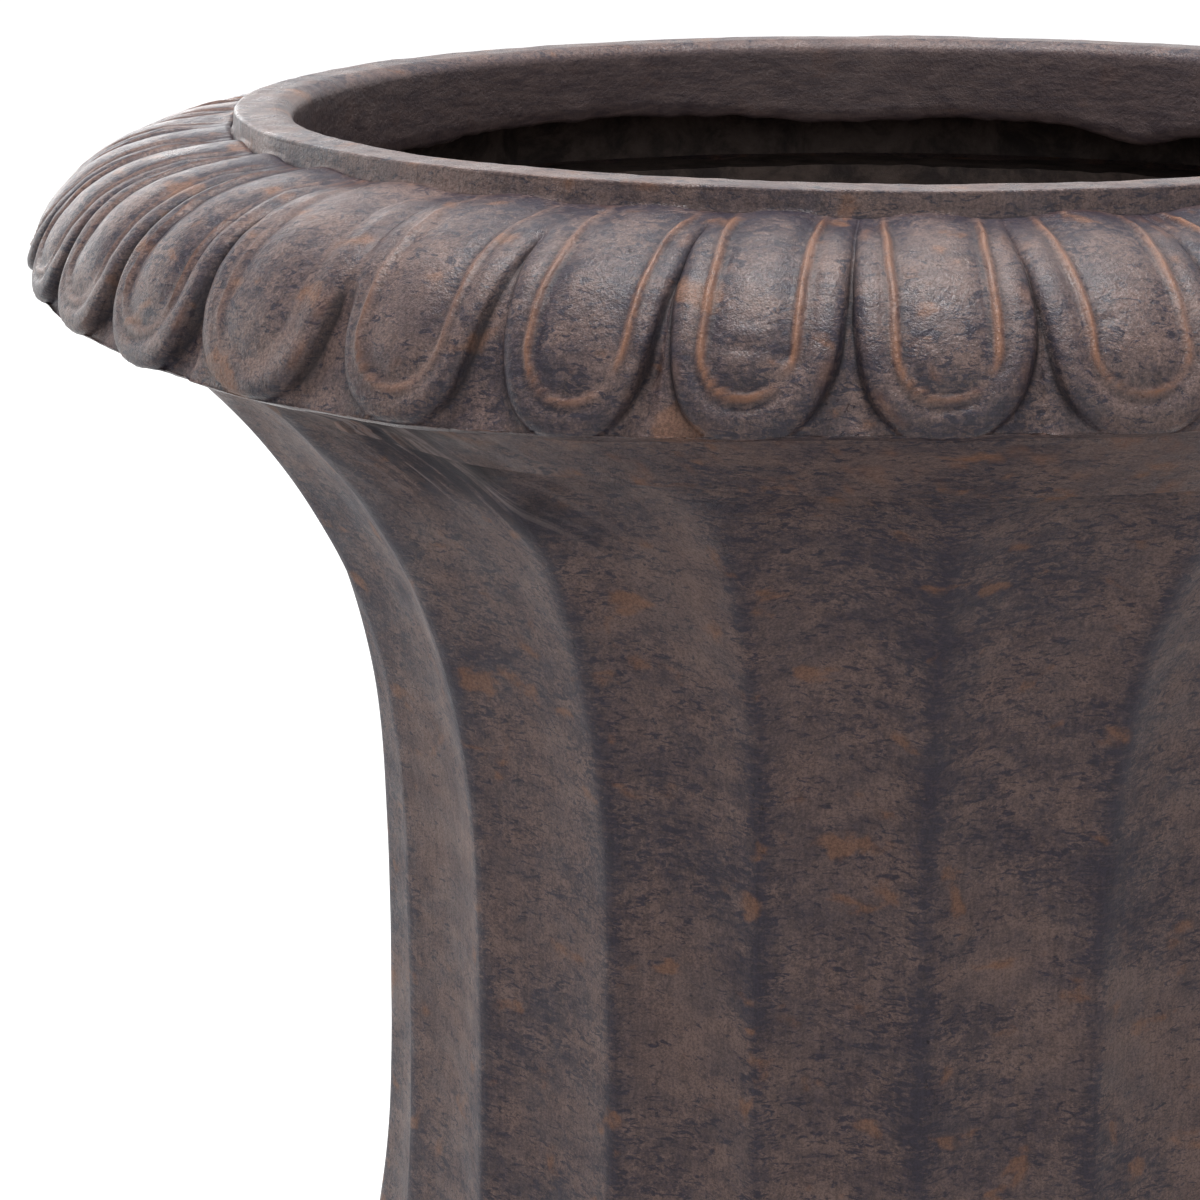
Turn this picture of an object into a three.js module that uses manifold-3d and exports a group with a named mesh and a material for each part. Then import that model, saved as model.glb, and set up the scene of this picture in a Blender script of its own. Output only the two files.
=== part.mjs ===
// Campana urn planter: a gadrooned rim ring on a fluted bell, bolted down on a round foot with a
// square plinth. Millimetres, +Z up, floor at z = 0, axis of the urn on x = y = 0.
import * as THREE from "three";
import { mergeVertices } from "three/addons/utils/BufferGeometryUtils.js";
import Module from "manifold-3d";

const wasm = await Module();
wasm.setup();

// ---------------------------------------------------------------- driving dimensions (mm)
const seatGap = 0.3; // joint left between pieces that rest on each other
const slideGap = 0.3; // clearance round what slides or passes through a hole

// Lip and rim ring, measured outwards from the axis and down from the lip
const lipOuterRadius = 197.5;
const lipWidth = 17.5;
const collarBand = 5.5; // upright band of the collar above the lobes
const collarCove = 3.5; // hollow between the band and the lobes
const skirtDepth = 28; // inner face of the collar, down to the undercut
const skirtWall = 8;
const rollReach = 61.8; // from the lip's outer face to the crown of the lobes
const rollWidth = 42.3; // half width of the rounded roll
const rollHeight = 40.5; // from the roll's crest to its widest line
const rollCrestDepth = 10.5;
const rollWall = 10;
const lobeCount = 36;
const lobeRelief = 6;
const lobeTurn = THREE.MathUtils.degToRad(3.7);
const lobeSides = 4; // facets across one lobe
const rimEdgeDrop = 2.5; // lower edge of the roll under its widest line
const rimEdgeInset = 2.3;
const rimUndersideDrop = 4.5; // from that edge down to the seat of the bell
const flangeThickness = 8; // inward flange that the bell is bonded to

// Bell
const bondLine = 1.4;
const bondInset = 2; // from both edges of the bell's top
const bellTopRadius = 228;
const bellWaistRadius = 157.6;
const bellFootRadius = 186;
const bellWall = 15;
const waistDepth = 200; // from the bell's top edge to its waist
const bellLowerLength = 185; // from the waist to the bell's lower edge
const flareTop = 3.3; // how sharply the bell opens to the rim
const flareFoot = 2.9; // and to its lower edge
const fluteCount = 20;
const fluteDepth = 6;
const fluteTurn = THREE.MathUtils.degToRad(7.5); // the sharp edge between two flutes
const fluteSides = 6;
const fluteRunIn = 34; // length over which a flute rises to its full depth
const edgeBandHeight = 12; // plain band under the flutes
const edgeBandProud = 2;

// Lower bowl
const bellyHeight = 68;
const bellyInset = 4; // from the band to the gadroons
const bellyRelief = 5;
const floorThickness = 20;
const floorMargin = 9; // flat floor left outside the fittings

// Pedestal
const pedestalHeight = 108;
const plinthWidth = 264;
const plinthHeight = 30;
const torusRadius = 120;
const torusHeight = 20;
const filletStep = 8;
const stemWall = 12;
const stemRingProud = 8;
const stemRingHeight = 7;
const stemNeck = 10; // plain neck between the ring and the top
const topFlange = 12; // thickness that the clamp bars bear on
const flangeLand = 26; // width of the top flange, from its bore to its edge
const barSpace = 3; // round the lower bar inside the stem
const plinthBore = 100;
const padRadius = 12;
const padHeight = 3;
const padInset = 24; // centre of a pad from the plinth's edges

// Fixings
const gasketThickness = 3;
const gasketInset = 4; // from the edge of the top flange
const boltDiameter = 12;
const boltHoleSlack = 1;
const boltHeadWidth = 19;
const boltHeadHeight = 7.5;
const boltEndAllowance = 5;
const nutHeight = 10;
const washerDiameter = 24;
const washerThickness = 2.5;
const springWasherDiameter = 21;
const springWasherThickness = 2.5;
const barWidth = 28;
const upperBarLength = 96;
const upperBarThickness = 5;
const lowerBarThickness = 6;
const lowerBarBearing = 7; // how far the lower bar reaches under the top flange
const sealThickness = 3;

// Drain
const drainBore = 16;
const drainWall = 2;
const drainFlange = 5; // how far the flange stands out from the tube
const drainFlangeThickness = 2.5;
const drainThread = 9; // tube below the bowl, for the backnut
const backnutWall = 3;
const backnutHeight = 6;
const backnutSpace = 2.7; // from the backnut to the flange bore
const fittingSpace = 1; // between the upper bar and the drain's flange
const plugHead = 3.5; // how far the plug's head overlaps the bore
const plugHeadHeight = 4;
const plugLength = 16;
const plugTaper = 0.5;
const plugKnobRadius = 4.5;
const plugKnobHeight = 10;

const coarse = 16; // facets round small fittings
const round = 40; // facets round turned faces
const cornerFacets = 5; // facets along a curved stretch of an outline
const overcut = 5; // how far a cutter runs past the face it opens

// ---------------------------------------------------------------- heights from the floor
const plinthFloor = padHeight + seatGap;
const pedestalTop = plinthFloor + pedestalHeight;
const gasketFloor = pedestalTop + seatGap;
const bowlFloor = gasketFloor + gasketThickness + seatGap;
const bellyTop = bowlFloor + bellyHeight;
const bellFoot = bellyTop + edgeBandHeight;
const waistHeight = bellFoot + bellLowerLength;
const bellTop = waistHeight + waistDepth;
const bondFloor = bellTop + seatGap;
const rimSeat = bondFloor + bondLine + seatGap;
const rimEdge = rimSeat + rimUndersideDrop;
const rollCentre = rimEdge + rimEdgeDrop;
const lipTop = rollCentre + rollHeight + rollCrestDepth;
const innerFloor = bowlFloor + floorThickness;

const lipInnerRadius = lipOuterRadius - lipWidth;
const lobeRadius = lipOuterRadius + rollReach;
const rollCentreRadius = lobeRadius - rollWidth;
const bellMouth = bellTopRadius - bellWall;
const drainTubeRadius = drainBore / 2 + drainWall;
const drainFlangeRadius = drainTubeRadius + drainFlange;
const drainOffset = barWidth / 2 + fittingSpace + drainFlangeRadius; // in y, beside the bars
const backnutRadius = drainTubeRadius + slideGap + backnutWall;
const flangeBore = drainOffset + backnutRadius + backnutSpace;
const lowerBarLength = 2 * (flangeBore + lowerBarBearing);
const stemBore = lowerBarLength / 2 + barSpace;
const stemRadius = stemBore + stemWall;
const capRadius = flangeBore + flangeLand;
const floorRadius = Math.max(upperBarLength / 2, drainOffset + drainFlangeRadius) + floorMargin;
const bandRadius = bellFootRadius + edgeBandProud;
const bellyRadius = bandRadius - bellyInset;

// ---------------------------------------------------------------- materials
function finish(name, color, roughness, metalness) {
  return new THREE.MeshStandardMaterial({ name, color, roughness, metalness });
}
const castStone = finish("patinated_casting", 0x4f4744, 0.55, 0);
const adhesive = finish("bonding_paste", 0x6d675f, 0.8, 0);
const blackRubber = finish("black_rubber", 0x1b1b1c, 0.8, 0);
const zincSteel = finish("zinc_plated_steel", 0xa9acb0, 0.4, 1);
const drainPlastic = finish("drain_plastic", 0x2b2c2e, 0.5, 0);

// ---------------------------------------------------------------- solids
// Only positions are kept, shared vertices are merged, and triangles that close to a line go.
function welded(geometry) {
  const bare = geometry.clone();
  bare.deleteAttribute("normal");
  bare.deleteAttribute("uv");
  const merged = mergeVertices(bare, 1e-3);
  const index = merged.index.array;
  const kept = [];
  for (let i = 0; i < index.length; i += 3) {
    const [a, b, c] = [index[i], index[i + 1], index[i + 2]];
    if (a !== b && b !== c && c !== a) kept.push(a, b, c);
  }
  merged.setIndex(kept);
  return merged;
}

function toSolid(geometry) {
  const body = welded(geometry);
  const vertProperties = new Float32Array(body.attributes.position.array);
  const triVerts = new Uint32Array(body.index.array);
  return new wasm.Manifold(new wasm.Mesh({ numProp: 3, vertProperties, triVerts }));
}

function toGeometry(solid) {
  const mesh = solid.getMesh();
  const geometry = new THREE.BufferGeometry();
  geometry.setAttribute("position", new THREE.BufferAttribute(mesh.vertProperties, 3));
  geometry.setIndex(new THREE.BufferAttribute(mesh.triVerts, 1));
  geometry.computeVertexNormals();
  return geometry;
}

// Turns an outline of [radius, height] pairs about Z. The outline runs counterclockwise, with
// the axis on its left, and either starts and ends on the axis or is closed here.
function turned(outline, sides = round, startAngle = 0) {
  const points = outline.map(([radius, height]) => new THREE.Vector2(radius, height));
  const onAxis = outline[0][0] === 0 && outline[outline.length - 1][0] === 0;
  if (!onAxis) points.push(points[0].clone());
  const lathe = new THREE.LatheGeometry(points, sides);
  lathe.rotateX(Math.PI / 2);
  lathe.rotateZ(startAngle);
  return welded(lathe);
}

function cylinder(radius, bottom, top, sides = coarse) {
  return turned([[0, bottom], [radius, bottom], [radius, top], [0, top]], sides);
}

function ring(inner, outer, bottom, top, sides = coarse) {
  return turned([[inner, bottom], [outer, bottom], [outer, top], [inner, top]], sides);
}

// A stretch of an ellipse as [radius, height] pairs; angles in degrees, 0 pointing outwards.
function arc(centreRadius, centreHeight, halfWidth, halfHeight, from, to, facets = cornerFacets) {
  const pairs = [];
  for (let i = 0; i <= facets; i++) {
    const angle = THREE.MathUtils.degToRad(from + ((to - from) * i) / facets);
    pairs.push([
      centreRadius + halfWidth * Math.cos(angle),
      centreHeight + halfHeight * Math.sin(angle),
    ]);
  }
  return pairs;
}

// Moves each vertex in its own plane through the axis: shape(angle, radius, height) gives the
// new radius and height.
function carve(geometry, shape) {
  const position = geometry.attributes.position;
  for (let i = 0; i < position.count; i++) {
    const [x, y, z] = [position.getX(i), position.getY(i), position.getZ(i)];
    const radius = Math.hypot(x, y);
    if (radius === 0) continue;
    const [newRadius, newHeight] = shape(Math.atan2(y, x), radius, z);
    position.setXYZ(i, (x * newRadius) / radius, (y * newRadius) / radius, newHeight);
  }
  return geometry;
}

// How far an angle lies from the middle of its lobe: 0 there, 1 at the valley to the next one.
function acrossLobe(angle, count, turn) {
  const step = (2 * Math.PI) / count;
  const places = (angle - turn) / step;
  return 2 * Math.abs(places - Math.round(places));
}

// ---------------------------------------------------------------- castings
// Height of a lobe's face above the ground between the lobes, from 0 to 1. Below tongueStart
// the tongue narrows to its round end.
function tongue(across, slope) {
  const tongueStart = 60; // degrees down the roll from its crest
  const tongueEnd = 90;
  const tipRounding = 0.85;
  const down = Math.min(Math.max((slope - tongueStart) / (tongueEnd - tongueStart), 0), 1);
  const halfWidth = Math.sqrt(1 - down * down * tipRounding);
  const inside = Math.min(across / halfWidth, 1);
  return Math.sqrt(1 - inside * inside);
}

function rimRing() {
  const crestHeight = rollCentre + rollHeight;
  const collarFoot = lipTop - collarBand;
  const rollAngles = [0, 6, 15, 28, 45, 65, 90]; // closer together where the lobes end
  const roll = rollAngles.map((angle) => arc(
    rollCentreRadius, rollCentre, rollWidth, rollHeight, angle, angle, 1)[0]);
  const outline = [
    [lipInnerRadius, rimSeat],
    [bellTopRadius, rimSeat],
    [lobeRadius - rimEdgeInset, rimEdge],
    ...roll,
    [lipOuterRadius + collarCove, Math.min(collarFoot, crestHeight + collarCove)],
    [lipOuterRadius, collarFoot],
    [lipOuterRadius, lipTop],
    [lipInnerRadius, lipTop],
  ];
  const margin = 0.01; // of the roll's size
  const outer = carve(turned(outline, lobeCount * lobeSides, lobeTurn), (angle, radius, height) => {
    const [out, up] = [(radius - rollCentreRadius) / rollWidth, (height - rollCentre) / rollHeight];
    const onRoll = out > margin && up > -margin && Math.hypot(out, up) > 1 - margin;
    if (!onRoll) return [radius, height];
    const slope = THREE.MathUtils.radToDeg(Math.atan2(out, up));
    const raised = tongue(acrossLobe(angle, lobeCount, lobeTurn), slope);
    const sunk = lobeRelief * (1 - raised) * Math.sin(THREE.MathUtils.degToRad(slope));
    const kept = 1 - sunk / rollWidth;
    return [rollCentreRadius + (radius - rollCentreRadius) * kept,
      rollCentre + (height - rollCentre) * kept];
  });
  const skirtOuter = lipInnerRadius + skirtWall;
  const flangeTop = rimSeat + flangeThickness;
  const innerWidth = rollWidth - lobeRelief - rollWall;
  const innerHeight = rollHeight - rollWall;
  const flangeSlope = THREE.MathUtils.radToDeg(Math.asin((flangeTop - rollCentre) / innerHeight));
  const hollow = [
    [lipInnerRadius - overcut, rimSeat - overcut],
    [bellMouth, rimSeat - overcut],
    [bellMouth, flangeTop],
    ...arc(rollCentreRadius, rollCentre, innerWidth, innerHeight, flangeSlope, 90),
    [skirtOuter, crestHeight - rollWall],
    [skirtOuter, lipTop - skirtDepth],
    [lipInnerRadius - overcut, lipTop - skirtDepth],
  ];
  return toGeometry(toSolid(outer).subtract(toSolid(turned(hollow))));
}

// Radius of the bell at a height, on the sharp edges between the flutes.
function bellRadius(height) {
  const above = (height - waistHeight) / waistDepth;
  const below = (waistHeight - height) / bellLowerLength;
  if (above > 0) return bellWaistRadius + (bellTopRadius - bellWaistRadius) * above ** flareTop;
  return bellWaistRadius + (bellFootRadius - bellWaistRadius) * below ** flareFoot;
}

function bellOutline(inset, stations) {
  const crowding = 1.35; // stations lie closer together towards the flared top
  const pairs = [];
  for (let i = 0; i <= stations; i++) {
    const height = bellFoot + (bellTop - bellFoot) * (1 - (1 - i / stations) ** crowding);
    pairs.push([bellRadius(height) - inset, height]);
  }
  return pairs;
}

function bellBody() {
  const bellyFacets = 6;
  const outerStations = 10;
  const innerStations = 7;
  const margin = 1; // keeps both ends of a carved stretch as they are
  const outline = [
    [0, bowlFloor],
    ...arc(capRadius, bellyTop, bellyRadius - capRadius, bellyHeight, -90, 0, bellyFacets),
    [bandRadius, bellyTop],
    [bandRadius, bellFoot],
    ...bellOutline(0, outerStations),
    [0, bellTop],
  ];
  const outer = carve(turned(outline, fluteCount * fluteSides, fluteTurn), (angle, radius, height) => {
    const across = acrossLobe(angle, fluteCount, fluteTurn);
    const onBelly = height < bellyTop - margin && height > bowlFloor + margin;
    if (onBelly) {
      const swell = 1 - across * across;
      const share = (bellyTop - height) / bellyHeight;
      return [radius - bellyRelief * swell * Math.sin(Math.PI * share), height];
    }
    const onFlutes = height > bellFoot + margin && height < bellTop - margin;
    if (!onFlutes) return [radius, height];
    const runIn = Math.min((bellTop - height) / fluteRunIn, (height - bellFoot) / fluteRunIn, 1);
    const hollow = 1 - (1 - across) ** 2;
    return [radius - fluteDepth * hollow * Math.sin((Math.PI / 2) * runIn), height];
  });
  const innerRadius = bellFootRadius - bellWall;
  const cavity = [
    [0, innerFloor],
    ...arc(floorRadius, bellFoot, innerRadius - floorRadius, bellFoot - innerFloor, -90, 0),
    ...bellOutline(bellWall, innerStations).slice(1),
    [bellMouth, bellTop + overcut],
    [0, bellTop + overcut],
  ];
  const boltHole = cylinder((boltDiameter + boltHoleSlack) / 2, bowlFloor - overcut, innerFloor + overcut);
  const drainHole = cylinder(drainTubeRadius + slideGap, bowlFloor - overcut, innerFloor + overcut)
    .translate(0, drainOffset, 0);
  return toGeometry(toSolid(outer).subtract(toSolid(turned(cavity)))
    .subtract(toSolid(boltHole)).subtract(toSolid(drainHole)));
}

function pedestalFoot() {
  const plinthTop = plinthFloor + plinthHeight;
  const torusTop = plinthTop + torusHeight;
  const ringTop = pedestalTop - stemNeck;
  const ringFloor = ringTop - stemRingHeight;
  const scotiaTop = ringFloor;
  const scotiaFloor = torusTop + filletStep / 2;
  const scotiaOuter = torusRadius - filletStep;
  const outline = [
    [0, plinthTop - seatGap],
    [torusRadius - torusHeight / 2, plinthTop - seatGap],
    ...arc(torusRadius - torusHeight / 2, plinthTop + torusHeight / 2, torusHeight / 2,
      torusHeight / 2, -90, 90),
    [scotiaOuter, torusTop],
    [scotiaOuter, scotiaFloor],
    ...arc(scotiaOuter, scotiaTop, scotiaOuter - stemRadius, scotiaTop - scotiaFloor, 270, 180)
      .slice(1),
    [stemRadius + stemRingProud, ringFloor],
    [stemRadius + stemRingProud, ringTop],
    [capRadius, ringTop],
    [capRadius, pedestalTop],
    [0, pedestalTop],
  ];
  const plinth = new THREE.BoxGeometry(plinthWidth, plinthWidth, plinthHeight)
    .translate(0, 0, plinthFloor + plinthHeight / 2);
  const barSeat = pedestalTop - topFlange;
  const cavity = [
    [0, plinthFloor - overcut],
    [plinthBore, plinthFloor - overcut],
    [plinthBore, plinthFloor + plinthHeight / 2],
    [stemBore, torusTop],
    [stemBore, barSeat],
    [flangeBore, barSeat],
    [flangeBore, pedestalTop + overcut],
    [0, pedestalTop + overcut],
  ];
  return toGeometry(toSolid(turned(outline)).add(toSolid(plinth)).subtract(toSolid(turned(cavity))));
}

// ---------------------------------------------------------------- fixings
function hexagon(acrossFlats, bottom, top) {
  return cylinder(acrossFlats / Math.sqrt(3), bottom, top, 6);
}

function clampBar(length, bottom, thickness) {
  const end = barWidth / 2;
  const straight = length / 2 - end;
  const shape = new THREE.Shape();
  shape.moveTo(-straight, -end);
  shape.lineTo(straight, -end);
  shape.absarc(straight, 0, end, -Math.PI / 2, Math.PI / 2, false);
  shape.lineTo(-straight, end);
  shape.absarc(-straight, 0, end, Math.PI / 2, 1.5 * Math.PI, false);
  const hole = new THREE.Path();
  hole.absarc(0, 0, (boltDiameter + boltHoleSlack) / 2, 0, 2 * Math.PI, true);
  shape.holes.push(hole);
  const bar = new THREE.ExtrudeGeometry(shape, { depth: thickness, bevelEnabled: false, curveSegments: 6 });
  return bar.translate(0, 0, bottom);
}

const sealFloor = innerFloor + seatGap;
const upperBarFloor = sealFloor + sealThickness + seatGap;
const boltHeadFloor = upperBarFloor + upperBarThickness + seatGap;
const lowerBarTop = pedestalTop - topFlange - seatGap;
const lowerBarFloor = lowerBarTop - lowerBarThickness;
const washerTop = lowerBarFloor - seatGap;
const springWasherTop = washerTop - washerThickness - seatGap;
const nutTop = springWasherTop - springWasherThickness - seatGap;
const boltEnd = nutTop - nutHeight - boltEndAllowance;
const clearHole = boltDiameter / 2 + slideGap;

function tieBolt() {
  const head = hexagon(boltHeadWidth, boltHeadFloor, boltHeadFloor + boltHeadHeight);
  const shank = cylinder(boltDiameter / 2, boltEnd, boltHeadFloor + boltHeadHeight / 2);
  return toGeometry(toSolid(head).add(toSolid(shank)));
}

function tieNut() {
  const body = hexagon(boltHeadWidth, nutTop - nutHeight, nutTop);
  const thread = cylinder(clearHole, nutTop - nutHeight - overcut, nutTop + overcut);
  return toGeometry(toSolid(body).subtract(toSolid(thread)));
}

function drainBush() {
  const bore = drainBore / 2;
  const flangeFloor = innerFloor + seatGap;
  return turned([
    [bore, bowlFloor - drainThread],
    [drainTubeRadius, bowlFloor - drainThread],
    [drainTubeRadius, flangeFloor],
    [drainFlangeRadius, flangeFloor],
    [drainFlangeRadius, flangeFloor + drainFlangeThickness],
    [bore, flangeFloor + drainFlangeThickness],
  ], coarse).translate(0, drainOffset, 0);
}

function drainBacknut() {
  const top = bowlFloor - seatGap;
  return ring(drainTubeRadius + slideGap, backnutRadius, top - backnutHeight, top)
    .translate(0, drainOffset, 0);
}

function drainPlug() {
  const fit = drainBore / 2 - slideGap;
  const seat = innerFloor + seatGap + drainFlangeThickness + seatGap;
  return turned([
    [0, seat - plugLength],
    [fit - plugTaper, seat - plugLength],
    [fit, seat],
    [fit + plugHead, seat],
    [fit + plugHead, seat + plugHeadHeight],
    [plugKnobRadius, seat + plugHeadHeight],
    [plugKnobRadius, seat + plugHeadHeight + plugKnobHeight],
    [0, seat + plugHeadHeight + plugKnobHeight],
  ], coarse).translate(0, drainOffset, 0);
}

// ---------------------------------------------------------------- assembly
const urn = new THREE.Group();

function place(parent, name, geometry, material) {
  const mesh = new THREE.Mesh(geometry, material);
  mesh.name = name;
  parent.add(mesh);
  return mesh;
}

const castings = new THREE.Group();
place(castings, "rim_ring", rimRing(), castStone);
place(castings, "bell_body", bellBody(), castStone);
place(castings, "pedestal_foot", pedestalFoot(), castStone);
place(castings, "rim_bond_bead", ring(bellMouth + bondInset, bellTopRadius - bondInset, bondFloor,
  bondFloor + bondLine, round), adhesive);

const clamp = new THREE.Group();
place(clamp, "joint_gasket", ring(flangeBore, capRadius - gasketInset, gasketFloor, gasketFloor + gasketThickness,
  round), blackRubber);
place(clamp, "upper_bar_seal", clampBar(upperBarLength, sealFloor, sealThickness), blackRubber);
place(clamp, "upper_clamp_bar", clampBar(upperBarLength, upperBarFloor, upperBarThickness), zincSteel);
place(clamp, "lower_clamp_bar", clampBar(lowerBarLength, lowerBarFloor, lowerBarThickness), zincSteel);
place(clamp, "flat_washer", ring(clearHole, washerDiameter / 2, washerTop - washerThickness, washerTop),
  zincSteel);
place(clamp, "spring_washer", ring(clearHole, springWasherDiameter / 2,
  springWasherTop - springWasherThickness, springWasherTop), zincSteel);
place(clamp, "tie_bolt", tieBolt(), zincSteel);
place(clamp, "tie_nut", tieNut(), zincSteel);

const drain = new THREE.Group();
place(drain, "drain_bush", drainBush(), drainPlastic);
place(drain, "drain_backnut", drainBacknut(), drainPlastic);
place(drain, "drain_plug", drainPlug(), blackRubber);

const feet = new THREE.Group();
const padPlace = plinthWidth / 2 - padInset;
const corners = [["front_left", -1, -1], ["front_right", 1, -1], ["back_right", 1, 1], ["back_left", -1, 1]];
for (const [corner, x, y] of corners) {
  const pad = place(feet, `foot_pad_${corner}`, cylinder(padRadius, 0, padHeight), blackRubber);
  pad.position.set(x * padPlace, y * padPlace, 0);
}

urn.add(castings, clamp, drain, feet);
export default urn;
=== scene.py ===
import math

import bmesh
import bpy
import numpy as np
from mathutils import Matrix, Vector, noise


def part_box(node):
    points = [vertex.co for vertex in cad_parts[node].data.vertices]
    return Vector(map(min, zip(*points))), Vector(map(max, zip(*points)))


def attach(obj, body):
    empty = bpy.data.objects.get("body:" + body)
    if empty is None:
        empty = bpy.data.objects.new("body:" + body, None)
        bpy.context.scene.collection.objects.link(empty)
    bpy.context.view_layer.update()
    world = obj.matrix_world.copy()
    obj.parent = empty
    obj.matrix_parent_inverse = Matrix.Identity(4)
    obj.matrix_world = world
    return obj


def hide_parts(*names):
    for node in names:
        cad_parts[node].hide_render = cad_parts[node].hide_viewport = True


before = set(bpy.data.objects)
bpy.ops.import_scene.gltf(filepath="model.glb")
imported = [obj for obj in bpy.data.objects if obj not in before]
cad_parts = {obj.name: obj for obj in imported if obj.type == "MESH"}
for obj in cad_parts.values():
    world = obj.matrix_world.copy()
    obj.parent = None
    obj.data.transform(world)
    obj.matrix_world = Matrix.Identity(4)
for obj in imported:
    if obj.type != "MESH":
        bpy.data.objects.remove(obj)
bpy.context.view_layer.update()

MM = 0.001

# ------------------------------------------------------------------ sizes from the frame
RIM_LOW, RIM_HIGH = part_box("rim_ring")
BELL_LOW, BELL_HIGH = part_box("bell_body")
FOOT_LOW, FOOT_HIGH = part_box("pedestal_foot")
LIP = RIM_HIGH.z
RIM_SEAT = RIM_LOW.z
BELL_TOP = BELL_HIGH.z
BOWL_FLOOR = BELL_LOW.z

# ------------------------------------------------------------------ rim
LOBES = 36
LOBE_TURN = math.radians(3.7)
LIP_OUTER = 197.5 * MM
LIP_INNER = 180 * MM
COLLAR_BAND = 6.2 * MM
SKIRT_DEPTH = 28 * MM
SKIRT_WALL = 8 * MM
ROLL_RADIUS = 217 * MM
ROLL_WIDTH = 42.3 * MM
ROLL_HEIGHT = 40.5 * MM
ROLL_CREST = LIP - 10.5 * MM
ROLL_CENTRE = ROLL_CREST - ROLL_HEIGHT
ROLL_LENGTH = 65 * MM  # down the roll from its crest to its widest line
ROLL_WALL = 10 * MM
LOBE_RELIEF = 6 * MM
BELL_MOUTH = 213 * MM
FLANGE_TOP = RIM_SEAT + 8 * MM

# A lobe's outline and the raised bead inside it, measured down the roll from its crest
TIP_START = 24 * MM
TIP_END = 60.6 * MM
TIP_FULLNESS = 2.5
SHOULDER = 1.9 * MM
BAND_CROWN = 1.0 * MM
BEAD_HALF_WIDTH = 11.4 * MM
BEAD_BEND = 39.9 * MM
BEAD_HEIGHT = 1.1 * MM
BEAD_ROUND = 0.68 * MM
GROUND_DOWN = (-20 * MM, -8 * MM, 8 * MM, 24 * MM, 36 * MM, 47 * MM, 55 * MM, 60 * MM, 67 * MM)
GROUND_DEPTH = (0.3 * MM, 0.7 * MM, 0.9 * MM, 1.4 * MM, 2.5 * MM, 3.3 * MM, 2.8 * MM, 1.7 * MM, 0.5 * MM)
COLUMN_SHARES = (0, 0.15, 0.29, 0.39, 0.455, 0.50, 0.53, 0.56, 0.605, 0.67, 0.74, 0.81, 0.865, 0.90,
                 0.93, 0.955, 0.98, 1)
LOBE_COLUMNS = 2 * (len(COLUMN_SHARES) - 1)
BEAD_COLUMN = 0.53
EDGE_COLUMN = 0.93

# ------------------------------------------------------------------ bell
FLUTES = 20
FLUTE_TURN = math.radians(7.5)
ARRIS_ANGLE = (0, 223, 242.6, 258.9, 275.1, 293.5, 345, 360)
ARRIS_SLIDE = (0, 0, 1.1, -0.6, -2.4, -2.0, 0, 0)
FLUTE_DEPTH = 6 * MM
FLUTE_RUN_IN = 24 * MM
BELL_TOP_RADIUS = 228 * MM
BELL_WAIST_RADIUS = 157.6 * MM
BELL_FOOT_RADIUS = 186 * MM
BELL_WALL = 15 * MM
WAIST = BELL_TOP - 200 * MM
BELL_FOOT = WAIST - 185 * MM
FLARE_TOP = 3.3
FLARE_FOOT = 2.9
BAND_HEIGHT = 12 * MM
BAND_RADIUS = BELL_FOOT_RADIUS + 2 * MM
BELLY_TOP = BELL_FOOT - BAND_HEIGHT
BELLY_RADIUS = BAND_RADIUS - 4 * MM
BELLY_RELIEF = 5 * MM
INNER_FLOOR = BOWL_FLOOR + 20 * MM
CAP_RADIUS = 72 * MM
FLOOR_RADIUS = 57 * MM
FLOOR_INSET = 50 * MM

# The joint's open stretch at the left of the front, in degrees round the urn; a painted shadow runs down from
# it at SHADOW_AZIMUTH
CREASE_AZIMUTH = 224
HOLE_AZIMUTH = 229.5
SHADOW_AZIMUTH = 237

# Where a brush left strokes on the bell, just under the rim
STROKE_AZIMUTH = 234
STROKE_SLANT = -50

# ------------------------------------------------------------------ foot
PLINTH_HALF = 132 * MM
PLINTH_HEIGHT = 30 * MM
PLINTH_HOLLOW = 100 * MM
PLINTH_ROOM = 15 * MM
TORUS_CENTRE = 110 * MM
TORUS_HALF = 10 * MM
SCOTIA_FOOT = 112 * MM
STEM_RADIUS = 68 * MM
STEM_HOLLOW = 56 * MM
RING_FOOT = FOOT_HIGH.z - 17 * MM
RING_HEIGHT = 7 * MM
RING_RADIUS = 76 * MM
FOOT_SHELF = FOOT_HIGH.z - 12 * MM
FOOT_BORE = 46 * MM

# ------------------------------------------------------------------ fittings
HEX_ACROSS = 19 * MM
BOLT_HEAD = 7.5 * MM
BOLT_THREAD_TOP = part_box("lower_clamp_bar")[0].z + 1 * MM
THREAD_PITCH = 1.75 * MM
BOLT_HOLE = 6.5 * MM
DRAIN_Y = 30 * MM
DRAIN_HOLE = 10.3 * MM
BUSH_FLANGE_FOOT = INNER_FLOOR + 0.3 * MM
BACKNUT_SEAT = FOOT_HIGH.z + 0.3 * MM
PLUG_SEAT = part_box("drain_bush")[1].z + 0.3 * MM

rng = np.random.default_rng(11)


def rgb(text, alpha=1.0):
    """A linear colour from a plain hexadecimal one."""
    parts = [int(text[i:i + 2], 16) / 255 for i in (0, 2, 4)]
    return tuple(c / 12.92 if c <= 0.04045 else ((c + 0.055) / 1.055) ** 2.4 for c in parts) + (alpha,)


# ------------------------------------------------------------------ node helpers
def add(tree, kind, inputs=None, **settings):
    """A new node, with settings on the node and values or links on its inputs."""
    made = tree.nodes.new(kind)
    for name, value in settings.items():
        setattr(made, name, value)
    for name, value in (inputs or {}).items():
        if isinstance(value, bpy.types.NodeSocket):
            tree.links.new(value, made.inputs[name])
        else:
            made.inputs[name].default_value = value
    return made


def maths(tree, operation, first, second=0.0, third=0.0, clamp=False):
    made = add(tree, "ShaderNodeMath", {0: first, 1: second, 2: third}, operation=operation, use_clamp=clamp)
    return made.outputs[0]


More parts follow.
